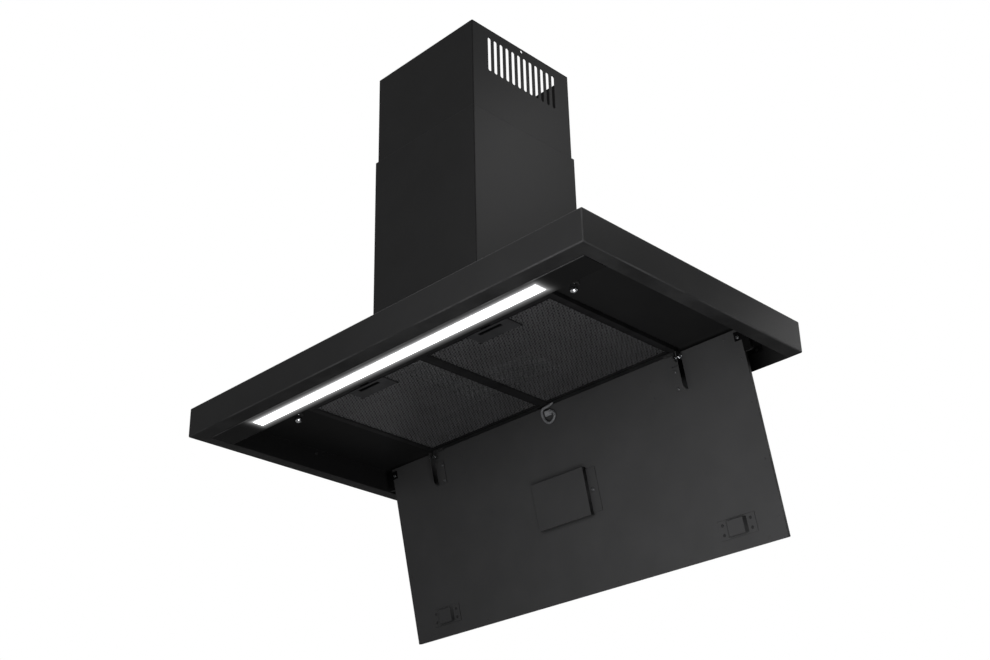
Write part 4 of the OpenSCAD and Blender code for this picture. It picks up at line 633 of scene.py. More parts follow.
class Finish:
    """A material in the making: its tree, its shader and the object's own coordinates."""

    def __init__(self, name, colour, roughness, metallic=0.0, specular=0.5, coat=0.0, coat_roughness=0.1):
        self.material = bpy.data.materials.new(name)
        self.material.use_nodes = True
        self.tree = self.material.node_tree
        self.shader = self.tree.nodes["Principled BSDF"]
        self.colour, self.roughness = rgba(colour), roughness
        self.material.diffuse_color = self.colour
        self.put(self.shader, Metallic=metallic, Specular_IOR_Level=specular, Coat_Weight=coat,
                 Coat_Roughness=coat_roughness)
        self.coordinates = self.tree.nodes.new("ShaderNodeTexCoord").outputs
        self.place = self.coordinates["Object"]

    def put(self, node, **values):
        """Feeds a node's inputs by name, with _ for a space."""
        for label, value in values.items():
            feed(self.tree, value, node.inputs[label.replace("_", " ")])

    def group(self, name, **values):
        """Places a shared group and feeds its inputs; gives its outputs."""
        node = added(self.tree, "ShaderNodeGroup", node_tree=shared_tree(name))
        self.put(node, Vector=self.place, **values)
        return node.outputs

    def facing(self, aim):
        """How far the surface faces a direction."""
        inputs = {0: self.coordinates["Normal"], 1: aim}
        return added(self.tree, "ShaderNodeVectorMath", inputs, operation="DOT_PRODUCT").outputs["Value"]

    def bump(self, height, depth, strength):
        """Joins a bump of a height, so many millimetres deep, to the normal."""
        bump = added(self.tree, "ShaderNodeBump", {"Height": height, "Distance": depth * MM, "Strength": strength})
        self.put(self.shader, Normal=bump.outputs["Normal"])

    def pebbled(self, scale, grit, depth, strength):
        """Gives it a pebbled skin."""
        self.bump(self.group("Pebbled skin", Scale=scale, Grit=grit)["Height"], depth, strength)

    def grained(self, stretch, scale, depth, strength):
        """Gives it drawn lines."""
        self.bump(self.group("Drawn grain", Stretch=stretch, Scale=scale)["Height"], depth, strength)

    def handled(self, patch, spread, scale, colour=None):
        """Joins the colour and the roughness, both with handling marks."""
        marks = self.group("Handling marks", Colour=self.colour if colour is None else colour,
                           Patch_Colour=rgba(patch), Roughness=self.roughness, Roughness_Spread=spread,
                           Patch_Scale=scale)
        self.put(self.shader, Base_Color=marks["Colour"], Roughness=marks["Roughness"])


def powder_coat(name, colour, roughness=0.38, painted_shade=None, painted_highlight=None, lit=False):
    """Satin black powder coat; if asked, with painted shading that darkens it towards one side, a painted highlight on
    a box's folds, or painted light that glows round the diffuser's slot.
    """
    made = Finish(name, colour, roughness, specular=0.02)
    base = made.colour
    # Painted shading: faces that look towards one side get a darker copy of the colour
    if painted_shade:
        aim, share = painted_shade
        base = mixed(made.tree, spread(made.tree, made.facing(aim), 0.4, 0.8), base, tinted(colour, share))
    # Painted highlight: a lighter copy of the colour along a box's folds
    if painted_highlight:
        low, high, share = painted_highlight
        edges = made.group("Box edges", Centre=(low + high) / 2, Half=(high - low) / 2, Width=2.4 * MM)
        base = mixed(made.tree, edges["Mask"], base, tinted(colour, share))
    made.handled(tinted(colour, 1.1), spread=0.06, scale=14.0, colour=base)
    # Painted light: a glow round the diffuser's slot, as emission on the sheet
    if lit:
        made.put(made.shader, Emission_Color=slot_glow(made, 0.42, 4.2 * MM), Emission_Strength=1.0)
    made.pebbled(scale=1100.0, grit=0.3, depth=0.03, strength=0.35)
    return made.material


def front_fold(node, share):
    """A box whose only near fold is the front lower one of a node, with the share of the colour that the painted
    highlight on that fold gets.
    """
    low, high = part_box(node)
    return low - RIGHT, high + Vector((1, 1, 1)), share


def slot_depths(made):
    """How far a spot lies inside the diffuser's edges, along X and along Y."""
    low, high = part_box("light_diffuser")
    middle, half = (low + high) / 2, (high - low) / 2
    do, spot = sums(made.tree), separated(made.tree, made.place)
    return [do("SUBTRACT", half[i], do("ABSOLUTE", do("SUBTRACT", spot[i], middle[i]))) for i in (0, 1)]


def slot_glow(made, strength, reach):
    """Painted light: emission on the sheet round the diffuser's slot, standing in for the light spilled from it."""
    do = sums(made.tree)
    away = [do("MAXIMUM", do("SUBTRACT", SLOT_INSET, depth), 0.0) for depth in slot_depths(made)]
    distance = do("SQRT", do("ADD", *(do("MULTIPLY", part, part) for part in away)))
    fade = do("EXPONENT", do("MULTIPLY", distance, -1 / reach))
    return mixed(made.tree, do("MULTIPLY", fade, strength), BLACK, WHITE)


def zinc_steel(name, colour, roughness=0.38):
    """Zinc-plated steel: crystal patches under fine rolling lines."""
    made = Finish(name, colour, roughness, metallic=0.85)
    spangle = made.group("Zinc spangle", Scale=160.0, Colour=rgba(tinted(colour, 1.1)),
                         Dark_Colour=rgba(tinted(colour, 0.8)))
    made.handled(tinted(colour, 0.72), spread=0.2, scale=22.0, colour=spangle["Colour"])
    made.grained((1.0, 1.0, 0.06), scale=900.0, depth=0.02, strength=0.3)
    return made.material


def bright_chrome(name, colour):
    """Bright chrome with faint turning lines."""
    made = Finish(name, colour, 0.13, metallic=1.0)
    made.handled(tinted(colour, 0.8), spread=0.1, scale=160.0)
    made.grained((1.0, 0.15, 0.15), scale=2600.0, depth=0.01, strength=0.25)
    return made.material


def dark_aluminium(name, colour, roughness, metallic, specular=0.5, patch=1.5):
    """Anodised aluminium strip with drawn lines along its length."""
    made = Finish(name, colour, roughness, metallic=metallic, specular=specular)
    made.handled(tinted(colour, patch), spread=0.14, scale=40.0)
    made.grained((0.08, 1.0, 1.0), scale=1800.0, depth=0.02, strength=0.35)
    return made.material


def moulded(name, colour, roughness=0.5, pebble=1600.0, specular=0.45):
    """Moulded plastic with an eroded skin."""
    made = Finish(name, colour, roughness, specular=specular)
    made.handled(tinted(colour, 1.5), spread=0.12, scale=30.0)
    made.pebbled(scale=pebble, grit=0.5, depth=0.04, strength=0.4)
    return made.material


def soft_rubber(name, colour):
    """Cable sheath and grommets: matt, with a fine rough skin."""
    made = Finish(name, colour, 0.55, specular=0.4)
    made.handled(tinted(colour, 1.3), spread=0.15, scale=260.0)
    made.pebbled(scale=2400.0, grit=0.6, depth=0.05, strength=0.4)
    return made.material


def lit_diffuser(name, colour):
    """Opal diffuser that glows, a little stronger over each chip behind it, and dims towards its rim."""
    made = Finish(name, (0.9, 0.9, 0.92), 0.35)
    chips = added(made.tree, "ShaderNodeTexWave", {"Vector": made.place, "Scale": 6.4}, wave_type="BANDS",
                  bands_direction="X")
    do = sums(made.tree)
    lit = spread(made.tree, do("MINIMUM", *slot_depths(made)), SLOT_INSET, SLOT_INSET + 3 * MM)
    glow = mixed(made.tree, chips.outputs["Fac"], tinted(colour, 0.94), colour)
    made.put(made.shader, Emission_Strength=6.0,
             Emission_Color=mixed(made.tree, do("POWER", lit, 3.0), tinted(colour, 0.03), glow))
    made.handled((0.84, 0.85, 0.88), spread=0.1, scale=30.0)
    made.pebbled(scale=3000.0, grit=0.4, depth=0.02, strength=0.2)
    return made.material


def circuit_board(name):
    """Green solder mask over a pattern of tracks."""
    green = (0.012, 0.10, 0.045)
    made = Finish(name, green, 0.34, coat=0.3)
    tracks = added(made.tree, "ShaderNodeTexBrick", {
        "Vector": made.place, "Scale": 220.0, "Mortar Size": 0.03, "Color1": rgba(green),
        "Color2": rgba(tinted(green, 1.25)), "Mortar": rgba(tinted(green, 2.2))})
    made.handled(tinted(green, 0.7), spread=0.15, scale=60.0, colour=tracks.outputs["Color"])
    made.bump(tracks.outputs["Fac"], depth=0.03, strength=0.3)
    return made.material


def window_glass(name):
    """Black back-printed glass of the touch window, with a row of small plain rings."""
    dark, pale = (0.004, 0.004, 0.005), (0.5, 0.5, 0.52)
    pitch, ring_r, line = 15 * MM, 3.2 * MM, 0.3 * MM
    row_z = (PANEL @ Vector((0, -162 * MM, 0))).z
    made = Finish(name, dark, 0.06, specular=0.3, coat=0.1, coat_roughness=0.03)
    do = sums(made.tree)
    x, _, z = separated(made.tree, made.place)
    across = do("PINGPONG", do("ADD", x, pitch * 10), pitch / 2)
    away = do("SQRT", do("ADD", do("POWER", across, 2.0), do("POWER", do("SUBTRACT", z, row_z), 2.0)))
    ring = do("LESS_THAN", do("ABSOLUTE", do("SUBTRACT", away, ring_r)), line)
    made.handled((0.010, 0.010, 0.012), spread=0.05, scale=60.0, colour=mixed(made.tree, ring, dark, pale))
    made.pebbled(scale=400.0, grit=0.2, depth=0.002, strength=0.15)
    return made.material


FINISHES = {}


def finish(kind):
    """The finish of that name, made once."""
    if kind not in FINISHES:
        c = bpy.context.scene.hood_colours
        # Painted shading: faces that look right keep 4 % of the coat's colour
        painted_shade = (RIGHT, 0.04)
        makers = {
            "black_sheet": lambda: powder_coat("black_sheet_coat", c.sheet),
            # Painted shading on the canopy's down-facing faces and a painted highlight on its folds
            "canopy_sheet": lambda: powder_coat("canopy_coat", c.sheet, painted_shade=(DOWN, 0.6),
                                                painted_highlight=(*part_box("canopy_shell"), 4.2)),
            # Painted shading: a darker copy of the coat, with a painted highlight on its front fold and painted light
            # round the slot
            "light_sheet": lambda: powder_coat("light_plate_coat", tinted(c.sheet, 0.3), 0.45,
                                               painted_highlight=front_fold("light_plate", 16.0), lit=True),
            # Painted light: a lighter copy of the coat, with painted shading on faces that look right
            "arm_sheet": lambda: powder_coat("hinge_arm_coat", tinted(c.sheet, 1.9), painted_shade=painted_shade),
            # Painted shading: a darker copy of the coat for the recess and its rear ties
            "recess_sheet": lambda: powder_coat("recess_coat", tinted(c.sheet, 0.45), 0.45),
            "zinc_steel": lambda: zinc_steel("zinc_plate", c.zinc),
            "dark_zinc": lambda: zinc_steel("dark_zinc_plate", tinted(c.zinc, 0.14), 0.42),
            "chrome": lambda: bright_chrome("bright_chrome", c.chrome),
            # Painted light: a lighter copy of the coat, with painted shading on faces that look right
            "panel_sheet": lambda: powder_coat("panel_coat", tinted(c.sheet, 1.9), painted_shade=painted_shade),
            # Painted light: a lighter copy of the coat, with painted shading on faces that look right
            "cover_sheet": lambda: powder_coat("cover_coat", tinted(c.sheet, 1.8), 0.42, painted_shade=painted_shade),
            "dark_aluminium": lambda: dark_aluminium("filter_frame_metal", c.filter, 0.42, 0.3, 0.02),
            "strand": lambda: dark_aluminium("filter_strand_metal", c.strand, 0.4, 0.85, patch=1.12),
            "bare_aluminium": lambda: dark_aluminium("bare_aluminium", (0.5, 0.5, 0.52), 0.35, 0.9),
            "black_plastic": lambda: moulded("black_moulding", c.plastic, specular=0.07),
            "latch_plastic": lambda: moulded("latch_moulding", tinted(c.plastic, 2.0), specular=0.1),
            "dull_plastic": lambda: moulded("slider_moulding", tinted(c.plastic, 0.25), 0.6, specular=0.02),
            "fan_plastic": lambda: moulded("fan_moulding", (0.21, 0.215, 0.225), 0.45, 1200.0),
            "grey_rubber": lambda: soft_rubber("cable_sheath", c.cable),
            "black_rubber": lambda: soft_rubber("black_rubber", tinted(c.plastic, 1.2)),
            "grey_plastic": lambda: moulded("plug_moulding", tinted(c.cable, 1.7), 0.45, 1900.0),
            "diffuser": lambda: lit_diffuser("lit_opal", c.light),
            "board": lambda: circuit_board("circuit_board"),
            "black_glass": lambda: window_glass("window_glass"),
        }
        FINISHES[kind] = makers[kind]()
    return FINISHES[kind]


# Fastener heads, each with its seat at height 0 and its head above

def helper(name, bm, sharp=HEAD_SHARP):
    """A helper object that the trees copy, kept out of the scene's view layer."""
    return bpy.data.objects.new(name, as_mesh(bm, name, sharp))


def screw(shank):
    """A screw with a domed head, a cross recess and a threaded shank."""
    r, t, shank_r = 3 * MM, SCREW_T, 1.6 * MM
    start = shank_r * 0.6 - shank
    profile = [(shank_r * 0.6, -shank), (shank_r, start)]
    profile += thread(shank_r, shank_r * 0.14, start, 0, max(2, int(shank / (0.5 * MM))), 0.12 * MM)
    profile += [(shank_r, -0.02 * MM), (r, 0), (r, t * 0.35), *arc(0, t * 0.35, r, t * 0.65, (20, 40, 60, 78))]
    bm = turned(profile, 28)
    arm, width = r * 0.58, r * 0.17
    for x, y in ((arm, width), (width, arm)):
        cutter = bmesh.new()
        block(cutter, (-x, -y, t * 0.45), (x, y, t * 2))
        tool = helper("recess_tool", cutter, 35)
        cut = applied(as_mesh(bm, "recess"), "BOOLEAN", operation="DIFFERENCE", solver="EXACT", object=tool)
        bm = bmesh.new()
        bm.from_mesh(cut)
    return helper("screw", bm)


def rivet(shank):
    """A blind rivet: a domed head with the broken pin's hole in its middle."""
    r, t, shank_r = 2.5 * MM, RIVET_T, 1.5 * MM
    hole = r * 0.36
    return helper("rivet", turned([
        (shank_r, -shank), (shank_r, 0), (r * 0.97, 0), (r, t * 0.22),
        *arc(0, t * 0.3, r * 0.94, t * 0.7, (10, 30, 50)), (hole * 1.12, t), (hole, t * 0.93),
        (hole * 0.96, t * 0.45), (hole * 0.5, t * 0.38)], 24))


def dot_rivet():
    """A plain spot rivet with a low dome."""
    r, shank_r, shank = 1.8 * MM, 0.9 * MM, 1.2 * MM
    profile = [(shank_r, -shank), (shank_r, 0), (r, 0), *arc(0, 0, r, DOT_T, (12, 30, 50, 70, 82))]
    return helper("dot_rivet", turned(profile, 20))


def hex_head(r, t, shank_r=0.0, shank=0.0, bore=0.0):
    """A hexagon head or nut with chamfered corners, on a shank or round a bore."""
    flat = r * cos(radians(30))
    rings = [clipped_hex(r, 0, flat * 1.01), clipped_hex(r, t * 0.12, r), clipped_hex(r, t * 0.86, r),
             clipped_hex(r, t, flat * 1.01)]
    if bore:
        inner = [[Vector((*(p.xy.normalized() * bore), z)) for p in hex_ring(r, 0)]
                 for z in (t, t * 0.9, t * 0.1, 0)]
        bm = loft(rings + inner, closed=True)
    else:
        dish = [[p * share for p in clipped_hex(r, z / share, flat)] for share, z in ((0.86, t), (0.4, t * 0.94))]
        bm = loft(rings + dish, caps=True)
        turned([(shank_r * 0.8, -shank), (shank_r, shank_r * 0.3 - shank), (shank_r, THINNEST)], 20, bm=bm)
    return helper("hexagon", bm)


def fastened(node, kind, head, head_t, *seats, into=IDENTITY):
    """A piece of fasteners: a head on each seat, by way of the tree of heads.

    A seat is a direction, or a direction and a test of the solids that it is for.
    """
    seats = [seat if isinstance(seat, tuple) else (seat, None) for seat in seats]
    spots = [spot for aim, keep in seats for spot in head_spots(node, aim, head_t, into, keep)]
    mesh = bpy.data.meshes.new(node + "_spots")
    mesh.from_pydata([tuple(place) for place, aim in spots], [], [])
    aims = mesh.attributes.new("aim", "FLOAT_VECTOR", "POINT")
    for i, (place, aim) in enumerate(spots):
        aims.data[i].vector = aim
    name = node + "_made"
    made = grown("Fastener heads", name, {"Head": head, "Turn Seed": TURN_SEED, "Finish": finish(kind)}, mesh)
    layer = made.attributes.get("aim")
    if layer:
        made.attributes.remove(layer)
    finished(name, node, shaded(made, HEAD_SHARP))


# Pieces

def canopy_piece():
    """The canopy: one folded sheet with rounded bends and a turned-in bottom edge."""
    low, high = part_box("canopy_shell")
    sheet, bend = 1.2 * MM, bpy.context.scene.hood_sizes.bend
    rim_front, rim_side = 28 * MM, 25 * MM
    corner, opening = 2.5 * MM, 95 * MM
    fold, nick, lip = sheet / 2, 0.15 * MM, 0.12 * MM

    def at(inset, z):
        return inset_ring((low, high), inset, z, corner)

    def rim(z, back=0.0):
        return rounded_ring(-high.x + rim_side - back, high.x - rim_side + back, low.y + rim_front - back,
                            high.y - sheet, 0.4 * MM, z)

    def hole(z):
        return rounded_ring(-opening, opening, -opening, opening, 2 * MM, z)

    quarter = [22.5 * k for k in range(5)]
    rings = [hole(high.z)]
    rings += [at(*point) for point in arc(bend, high.z - bend, -bend, bend, reversed(quarter))]
    rings += [at(*point) for point in arc(bend, low.z + bend, -bend, -bend, quarter)]
    rings += [rim(low.z, nick + fold / 2), rim(low.z + lip, fold / 4), rim(low.z + fold),
              rim(low.z + sheet - lip, fold / 4), rim(low.z + sheet, nick + fold / 2)]
    rings += [at(sheet, low.z + sheet), at(sheet, high.z - sheet), hole(high.z - sheet)]
    piece(loft(rings, closed=True), "canopy_shell", "canopy_sheet", 40, name="canopy_folded")


def lower_section_piece():
    """The lower chimney section, with its bottom flange and the hem at its top."""
    low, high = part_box("lower_chimney")
    sheet, corner, flange, hem, play = 1 * MM, 2 * MM, 11 * MM, 12 * MM, 2.6 * MM
    nose, chamfer, foot = 0.9 * MM, 0.5 * MM, 0.3 * MM
    profile = [(0, low.z + foot), (0, high.z - 1.5 * MM), *arc(nose, high.z - nose, -nose, nose, (0, 30, 60, 90)),
               (play - chamfer, high.z), (play, high.z - chamfer), (play, high.z - hem), (sheet, high.z - hem),
               (sheet, low.z + sheet), (sheet + flange, low.z + sheet), (sheet + flange, low.z), (foot, low.z)]
    rings = [inset_ring((low, high), inset, z, corner) for inset, z in profile]
    piece(loft(rings, closed=True), "lower_chimney", "black_sheet", 40, name="lower_section_folded")


def diffuser_piece():
    """The opal diffuser: a crowned lens with its hidden edge behind the slot."""
    low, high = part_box("light_diffuser")
    crown = bpy.context.scene.hood_sizes.crown
    sheet = 1.2 * MM
    x, y0, y1 = high.x - SLOT_INSET, low.y + SLOT_INSET, high.y - SLOT_INSET

    def ring(inset, z, r):
        return rounded_ring(-x + inset, x - inset, y0 + inset, y1 - inset, r, z)

    rings = [rounded_ring(low.x, high.x, low.y, high.y, 1 * MM, z) for z in (high.z, low.z + sheet)]
    rings += [ring(0, z, 1 * MM) for z in (low.z + sheet, low.z + 0.1 * MM)]
    rings += [ring(share * (y1 - y0) / 2, low.z - crown * drop, 0.6 * MM)
              for share, drop in ((0.06, 0.45), (0.18, 0.75), (0.4, 0.93), (0.8, 1.0))]
    piece(loft(rings, caps=True), "light_diffuser", "diffuser", 50, name="diffuser_lens")


def strand_mat(name, corners, middle, height, pitch, angle, thick, kind):
    """One layer of parallel strands over a rectangle, in step with the same layer's other rectangles."""
    low, high = corners
    half, centre = (high - low) / 2, (high + low) / 2
    off = centre - middle
    layer = grown("Strand mat", name, {
        "Half Width": half.x, "Half Depth": half.y, "Pitch": pitch, "Angle": angle,
        "Shift": -(off.x * cos(angle) + off.y * sin(angle)) % pitch, "Finish": finish(kind),
        "Strand Width": bpy.context.scene.hood_sizes.strand_width, "Strand Height": thick,
        "Strands": 2 * int(half.xy.length / pitch + 1) + 1})
    layer.transform(Matrix.Translation((centre.x, centre.y, height)))
    return layer


def mesh_pack(side):
    """The filter's mesh pack: two diamond meshes on its lower face, sparser ones behind, and room for the latch."""
    node = "mesh_" + side
    low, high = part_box(node)
    tray_low, tray_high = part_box("latch_plate_" + side)
    sizes = bpy.context.scene.hood_sizes
    thick, play = 0.36 * MM, 0.4 * MM
    long_mesh, wide_mesh = (sizes.long_pitch, sizes.long_angle), (sizes.wide_pitch, sizes.wide_angle)
    left, right = tray_low.x - play, tray_high.x + play
    rectangles = ((low, Vector((left, high.y, high.z))), (Vector((right, low.y, low.z)), high),
                  (Vector((left, tray_high.y + play, low.z)), Vector((right, high.y, high.z))))
    # The rear layers take the frames' near-black metal instead of the strands': painted shading inside the pack
    layers = (("front", "strand", 1, ((0.2 * MM, long_mesh), (1.0 * MM, wide_mesh))),
              ("rear", "dark_aluminium", 2, ((2.6 * MM, long_mesh), (high.z - low.z - 0.9 * MM, wide_mesh))))
    for place, kind, share, meshes in layers:
        bm = bmesh.new()
        for height, (pitch, angle) in meshes:
            for turn, step in ((1, 0), (-1, thick * 0.15)):
                for corners in rectangles:
                    bm.from_mesh(strand_mat(node + "_layer", corners, (low + high) / 2,
                                            low.z + height + step + thick / 2, pitch * share, turn * angle, thick,
                                            kind))
        name = node + "_" + place + "_strands"
        mesh = bpy.data.meshes.new(name)
        bm.to_mesh(mesh)
        bm.free()
        finished(name, node, mesh, finish(kind))


def stud_piece():
    """Ball studs: a ball on a neck under a hexagon, with thread above."""
    low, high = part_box("ball_studs")
    ball, neck, seat = 6.5 * MM, STUD_R, EDGE_Z + 40 * MM
    centre, under, flat = low.z + ball, seat - STUD_HEX_T, STUD_HEX_R * cos(radians(30))
    profile = [*arc(0, centre, ball, ball, range(-90, 56, 9)), (neck * 0.92, centre + ball * 0.95),
               (neck * 0.9, under - 1 * MM), (neck, under - 0.4 * MM), (neck, under),
               *thread(neck, neck * 0.14, seat, high.z, 7, 0.25 * MM), (neck * 0.7, high.z)]
    rings = [clipped_hex(STUD_HEX_R, under, flat * 1.02), clipped_hex(STUD_HEX_R, under + 0.6 * MM, STUD_HEX_R),
             clipped_hex(STUD_HEX_R, seat, STUD_HEX_R)]
    bm, hexagons = bmesh.new(), bmesh.new()
    for x in (low.x + STUD_HEX_R, high.x - STUD_HEX_R):
        place = Matrix.Translation((x, (low.y + high.y) / 2, 0))
        turned(profile, 28, place, bm=bm)
        loft(rings, caps=True, place=place, bm=hexagons)
    piece(hexagons, "ball_studs", "black_sheet", 34, False, "stud_hexagons")
    piece(bm, "ball_studs", "chrome", 34, False, "ball_studs_turned")


def pin_piece():
    """Hinge pins: a broad domed head with a socket outboard, and a riveted end inboard."""
    bm = bmesh.new()
    head_r, head_t, dome, pin_r, tail_r, tail_t = 4.75 * MM, 2.5 * MM, 0.9 * MM, 2.5 * MM, 3.1 * MM, 1.5 * MM
    for low, high in islands("hinge_pins"):
        side = 1 if low.x > 0 else -1
        length = high.x - low.x
        place = (Matrix.Translation((low.x if side > 0 else high.x, HINGE.y, HINGE.z))
                 @ Matrix.Rotation(side * pi / 2, 4, "Y"))
        turned([(tail_r * 0.55, 0), (tail_r * 0.9, 0.25 * MM), (tail_r, 0.8 * MM), (tail_r, tail_t),
                (pin_r, tail_t), (pin_r, length - head_t), (head_r * 0.96, length - head_t),
                (head_r, length - head_t + 0.25 * MM), (head_r, length - dome),
                *arc(head_r - dome, length - dome, dome, dome, (30, 60, 90)),
                (1.7 * MM, length), (1.6 * MM, length - 0.15 * MM), (1.5 * MM, length - 1.2 * MM)], 36, place, bm=bm)
    piece(bm, "hinge_pins", "chrome", 34, False, "hinge_pins_turned")


# The cable's route on the panel in millimetres: across, down the panel and off its inner face
CABLE_ROUTE = [
    (13, -6.8, 1.8), (12.6, -4.2, 2.4), (11, -1.4, 3.2), (7.5, 0.8, 4.4), (3, 2, 5.6), (-2, 2.6, 6.4),
    (-5.6, 3.4, 6.9), (-8.8, 5.4, 7), (-10.6, 9, 6.6), (-11.2, 14, 5.8), (-10.8, 19, 4.8), (-9, 23.6, 3.8),
    (-5.6, 27.4, 3.2), (-1.2, 29.4, 3), (4, 28.8, 3), (8.8, 26, 3), (12, 21.8, 3), (12.6, 17.4, 3), (11, 14, 3),
    (8.8, 12, 3), (6, 12, 3)]
CABLE_R = 2.2 * MM


def smooth_route(points, steps=5):
    """Points on a smooth curve through the given ones."""
    out, last = [], len(points) - 1
    for i in range(last):
        a, b, c, d = (points[max(0, min(last, i + k))] for k in (-1, 0, 1, 2))
        for t in (s / steps for s in range(steps)):
            out.append(0.5 * ((2 * b) + (c - a) * t + (2 * a - 5 * b + 4 * c - d) * t * t
                              + (3 * b - a - 3 * c + d) * t ** 3))
    return out + [points[-1]]


def tube(points, radii, sides=14):
    """A closed tube along points, each with its own radius."""
    side = UP.cross(points[1] - points[0]).normalized()
    rings = []
    for i, p in enumerate(points):
        ahead = (points[min(i + 1, len(points) - 1)] - points[max(i - 1, 0)]).normalized()
        side = (side - ahead * side.dot(ahead)).normalized()
        up = ahead.cross(side)
        rings.append([p + side * spot.x + up * spot.y for spot in circle_ring(radii[i], 0, sides)])
    return loft(rings, caps=True)


def cable_pieces():
    """The panel's cable, from the grommet over the panel's edge and round to its plug."""
    points = smooth_route([PANEL @ (Vector((x, -down, off)) * MM) for x, down, off in CABLE_ROUTE])
    radii, boot = [CABLE_R] * len(points), 14
    for k in range(boot):
        radii[-1 - k] = CABLE_R * (1.28 - 0.26 * k / boot) * (1.0 if k % 3 else 0.9)
    piece(tube(points, radii), "control_cable", "grey_rubber", 50, name="control_cable_sheath")
    low, high = islands("cable_plug", OFF_PANEL)[0]
    bm = bmesh.new()
    block(bm, low, (high.x, high.y, high.z - 1.2 * MM), 0.5 * MM, 2, PANEL)
    block(bm, (low.x + 1.2 * MM, low.y + 1 * MM, high.z - 1.4 * MM), (high.x - 2 * MM, high.y - 1 * MM, high.z),
          0.4 * MM, 2, PANEL)
    deep, proud = 0.8 * MM, 0.05 * MM
    for x in [low.x + (3 + 1.9 * k) * MM for k in range(4)]:
        for y0, y1 in ((low.y - proud, low.y + deep), (high.y - deep, high.y + proud)):
            block(bm, (x, y0, low.z + 0.8 * MM), (x + 0.8 * MM, y1, high.z - 1.6 * MM), 0.1 * MM, 1, PANEL)
    piece(bm, "cable_plug", "grey_plastic", 35, False)


def wheel_piece():
    """The fan wheel: curved blades between two rings, a disc in the middle and a hub."""
    low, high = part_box("fan_wheel")
    place = along_x((low + high) / 2)
    wide, r = high.x - low.x, (high.z - low.z) / 2
    blades = grown("Wheel blades", "fan_blades", {
        "Blades": bpy.context.scene.hood_sizes.blades, "Inner Radius": r - 12 * MM, "Outer Radius": r - 0.8 * MM,
        "Width": wide - 1 * MM, "Thickness": 1 * MM, "Lean": 0.6, "Finish": finish("fan_plastic")})
    blades.transform(place)
    bm = bmesh.new()
    bm.from_mesh(blades)
    ring_t, inner, chamfer = 2 * MM, r - 12.4 * MM, 0.5 * MM
    for z in (-wide / 2, wide / 2 - ring_t):
        top = z + ring_t
        turned([(inner, z), (r - chamfer, z), (r, z + chamfer), (r, top - chamfer), (r - chamfer, top),
                (inner, top)], 72, place, True, bm)
    hub, shaft, disc = 10 * MM, 4 * MM, 1 * MM
    side = [(shaft, -8 * MM), (hub - 0.6 * MM, -8 * MM), (hub, -7.4 * MM), (hub, -2.4 * MM), (hub + 2 * MM, -disc),
            (r - 14 * MM, -disc), (r - 1 * MM, -disc)]
    turned(side + [(radius, -z) for radius, z in reversed(side)], 72, place, True, bm)
    piece(bm, "fan_wheel", "fan_plastic", name="fan_wheel_moulded")


def motor_piece():
    """The motor: a can with cooling ribs and rounded ends, round its shaft."""
    low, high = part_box("fan_motor")
    half, r = (high.x - low.x) / 2, (high.z - low.z) / 2
    bore, bend, shell, groove = 4.05 * MM, 5 * MM, 6.4 * MM, 1.6 * MM
    ribs, start = 9, -half + 9 * MM
    step = -2 * start / ribs
    profile = [(bore, -half + 2 * MM), (bore, -half), (12 * MM, -half), (13 * MM, -half + 1 * MM),
               (r - 8 * MM, -half + 1.4 * MM), *arc(r - bend, -half + shell, bend, bend, (-90, -60, -30, 0))]
    for z in [start + step * k for k in range(ribs)]:
        profile += [(r, z), (r, z + step * 0.45), (r - groove, z + step * 0.55), (r - groove, z + step * 0.9)]
    profile += [(r, -start), *arc(r - bend, half - shell, bend, bend, (0, 30, 60, 90)),
                (14 * MM, half - 1.4 * MM), (13 * MM, half), (0, half)]
    piece(turned(profile, 56, along_x((low + high) / 2)), "fan_motor", "dark_zinc", 32, False)


def capacitor_piece():
    """The capacitor: a can with a rolled rim, and its stud through the box."""
    low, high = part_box("capacitor")
    r, length, base = (high.z - low.z) / 2, high.x - low.x, 5 * MM
    neck = r - 0.8 * MM
    profile = [(3 * MM, 0), (4 * MM, 1 * MM), (4 * MM, base), (r - 2 * MM, base), (r, base + 2 * MM),
               (r, length - 5 * MM), (neck, length - 4.2 * MM), (neck, length - 3.4 * MM), (r, length - 2.6 * MM),
               (r, length - 0.5 * MM), (r - 0.6 * MM, length), (r - 1.6 * MM, length - 0.2 * MM),
               (r - 2 * MM, length - 1.6 * MM)]
    place = along_x((low.x, (low.y + high.y) / 2, (low.z + high.z) / 2))
    piece(turned(profile, 36, place), "capacitor", "bare_aluminium", 32, False)


def gland_piece():
    """The cable gland: hexagon body, ribbed cap nut and open bore."""
    low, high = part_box("cable_gland")
    bore, outer, seat, sides = 3.5 * MM, 6 * MM, low.z + 6 * MM, 48
    profile = [(bore, low.z), (outer - 0.4 * MM, low.z), *thread(outer, 0.5 * MM, low.z, seat, 5, 0.3 * MM),
               (outer, seat)]
    rings = [circle_ring(r, z, sides) for r, z in profile]
    rings += [hex_ring(r, z, 8) for r, z in ((8.9 * MM, seat), (9 * MM, seat + 0.4 * MM), (9 * MM, seat + 5.6 * MM))]
    rings.append(circle_ring(7 * MM, seat + 6 * MM, sides))
    for z in (seat + 6.4 * MM, high.z - 3 * MM):
        deep, proud = circle_ring(6.2 * MM, z, sides), circle_ring(6.9 * MM, z, sides)
        rings.append([proud[k] if k % 2 else deep[k] for k in range(sides)])
    rings += [circle_ring(r, z, sides)
              for r, z in ((5.6 * MM, high.z - 0.8 * MM), (4.6 * MM, high.z), (bore, high.z))]
    place = Matrix.Translation((*((low + high) / 2).xy, 0))
    piece(loft(rings, closed=True, place=place), "cable_gland", "black_plastic", 30)


# Operators

class HoodPiece:
    """What the operators share"""
    bl_options = {"REGISTER"}

    def execute(self, context):
        self.make(context)
        return {"FINISHED"}


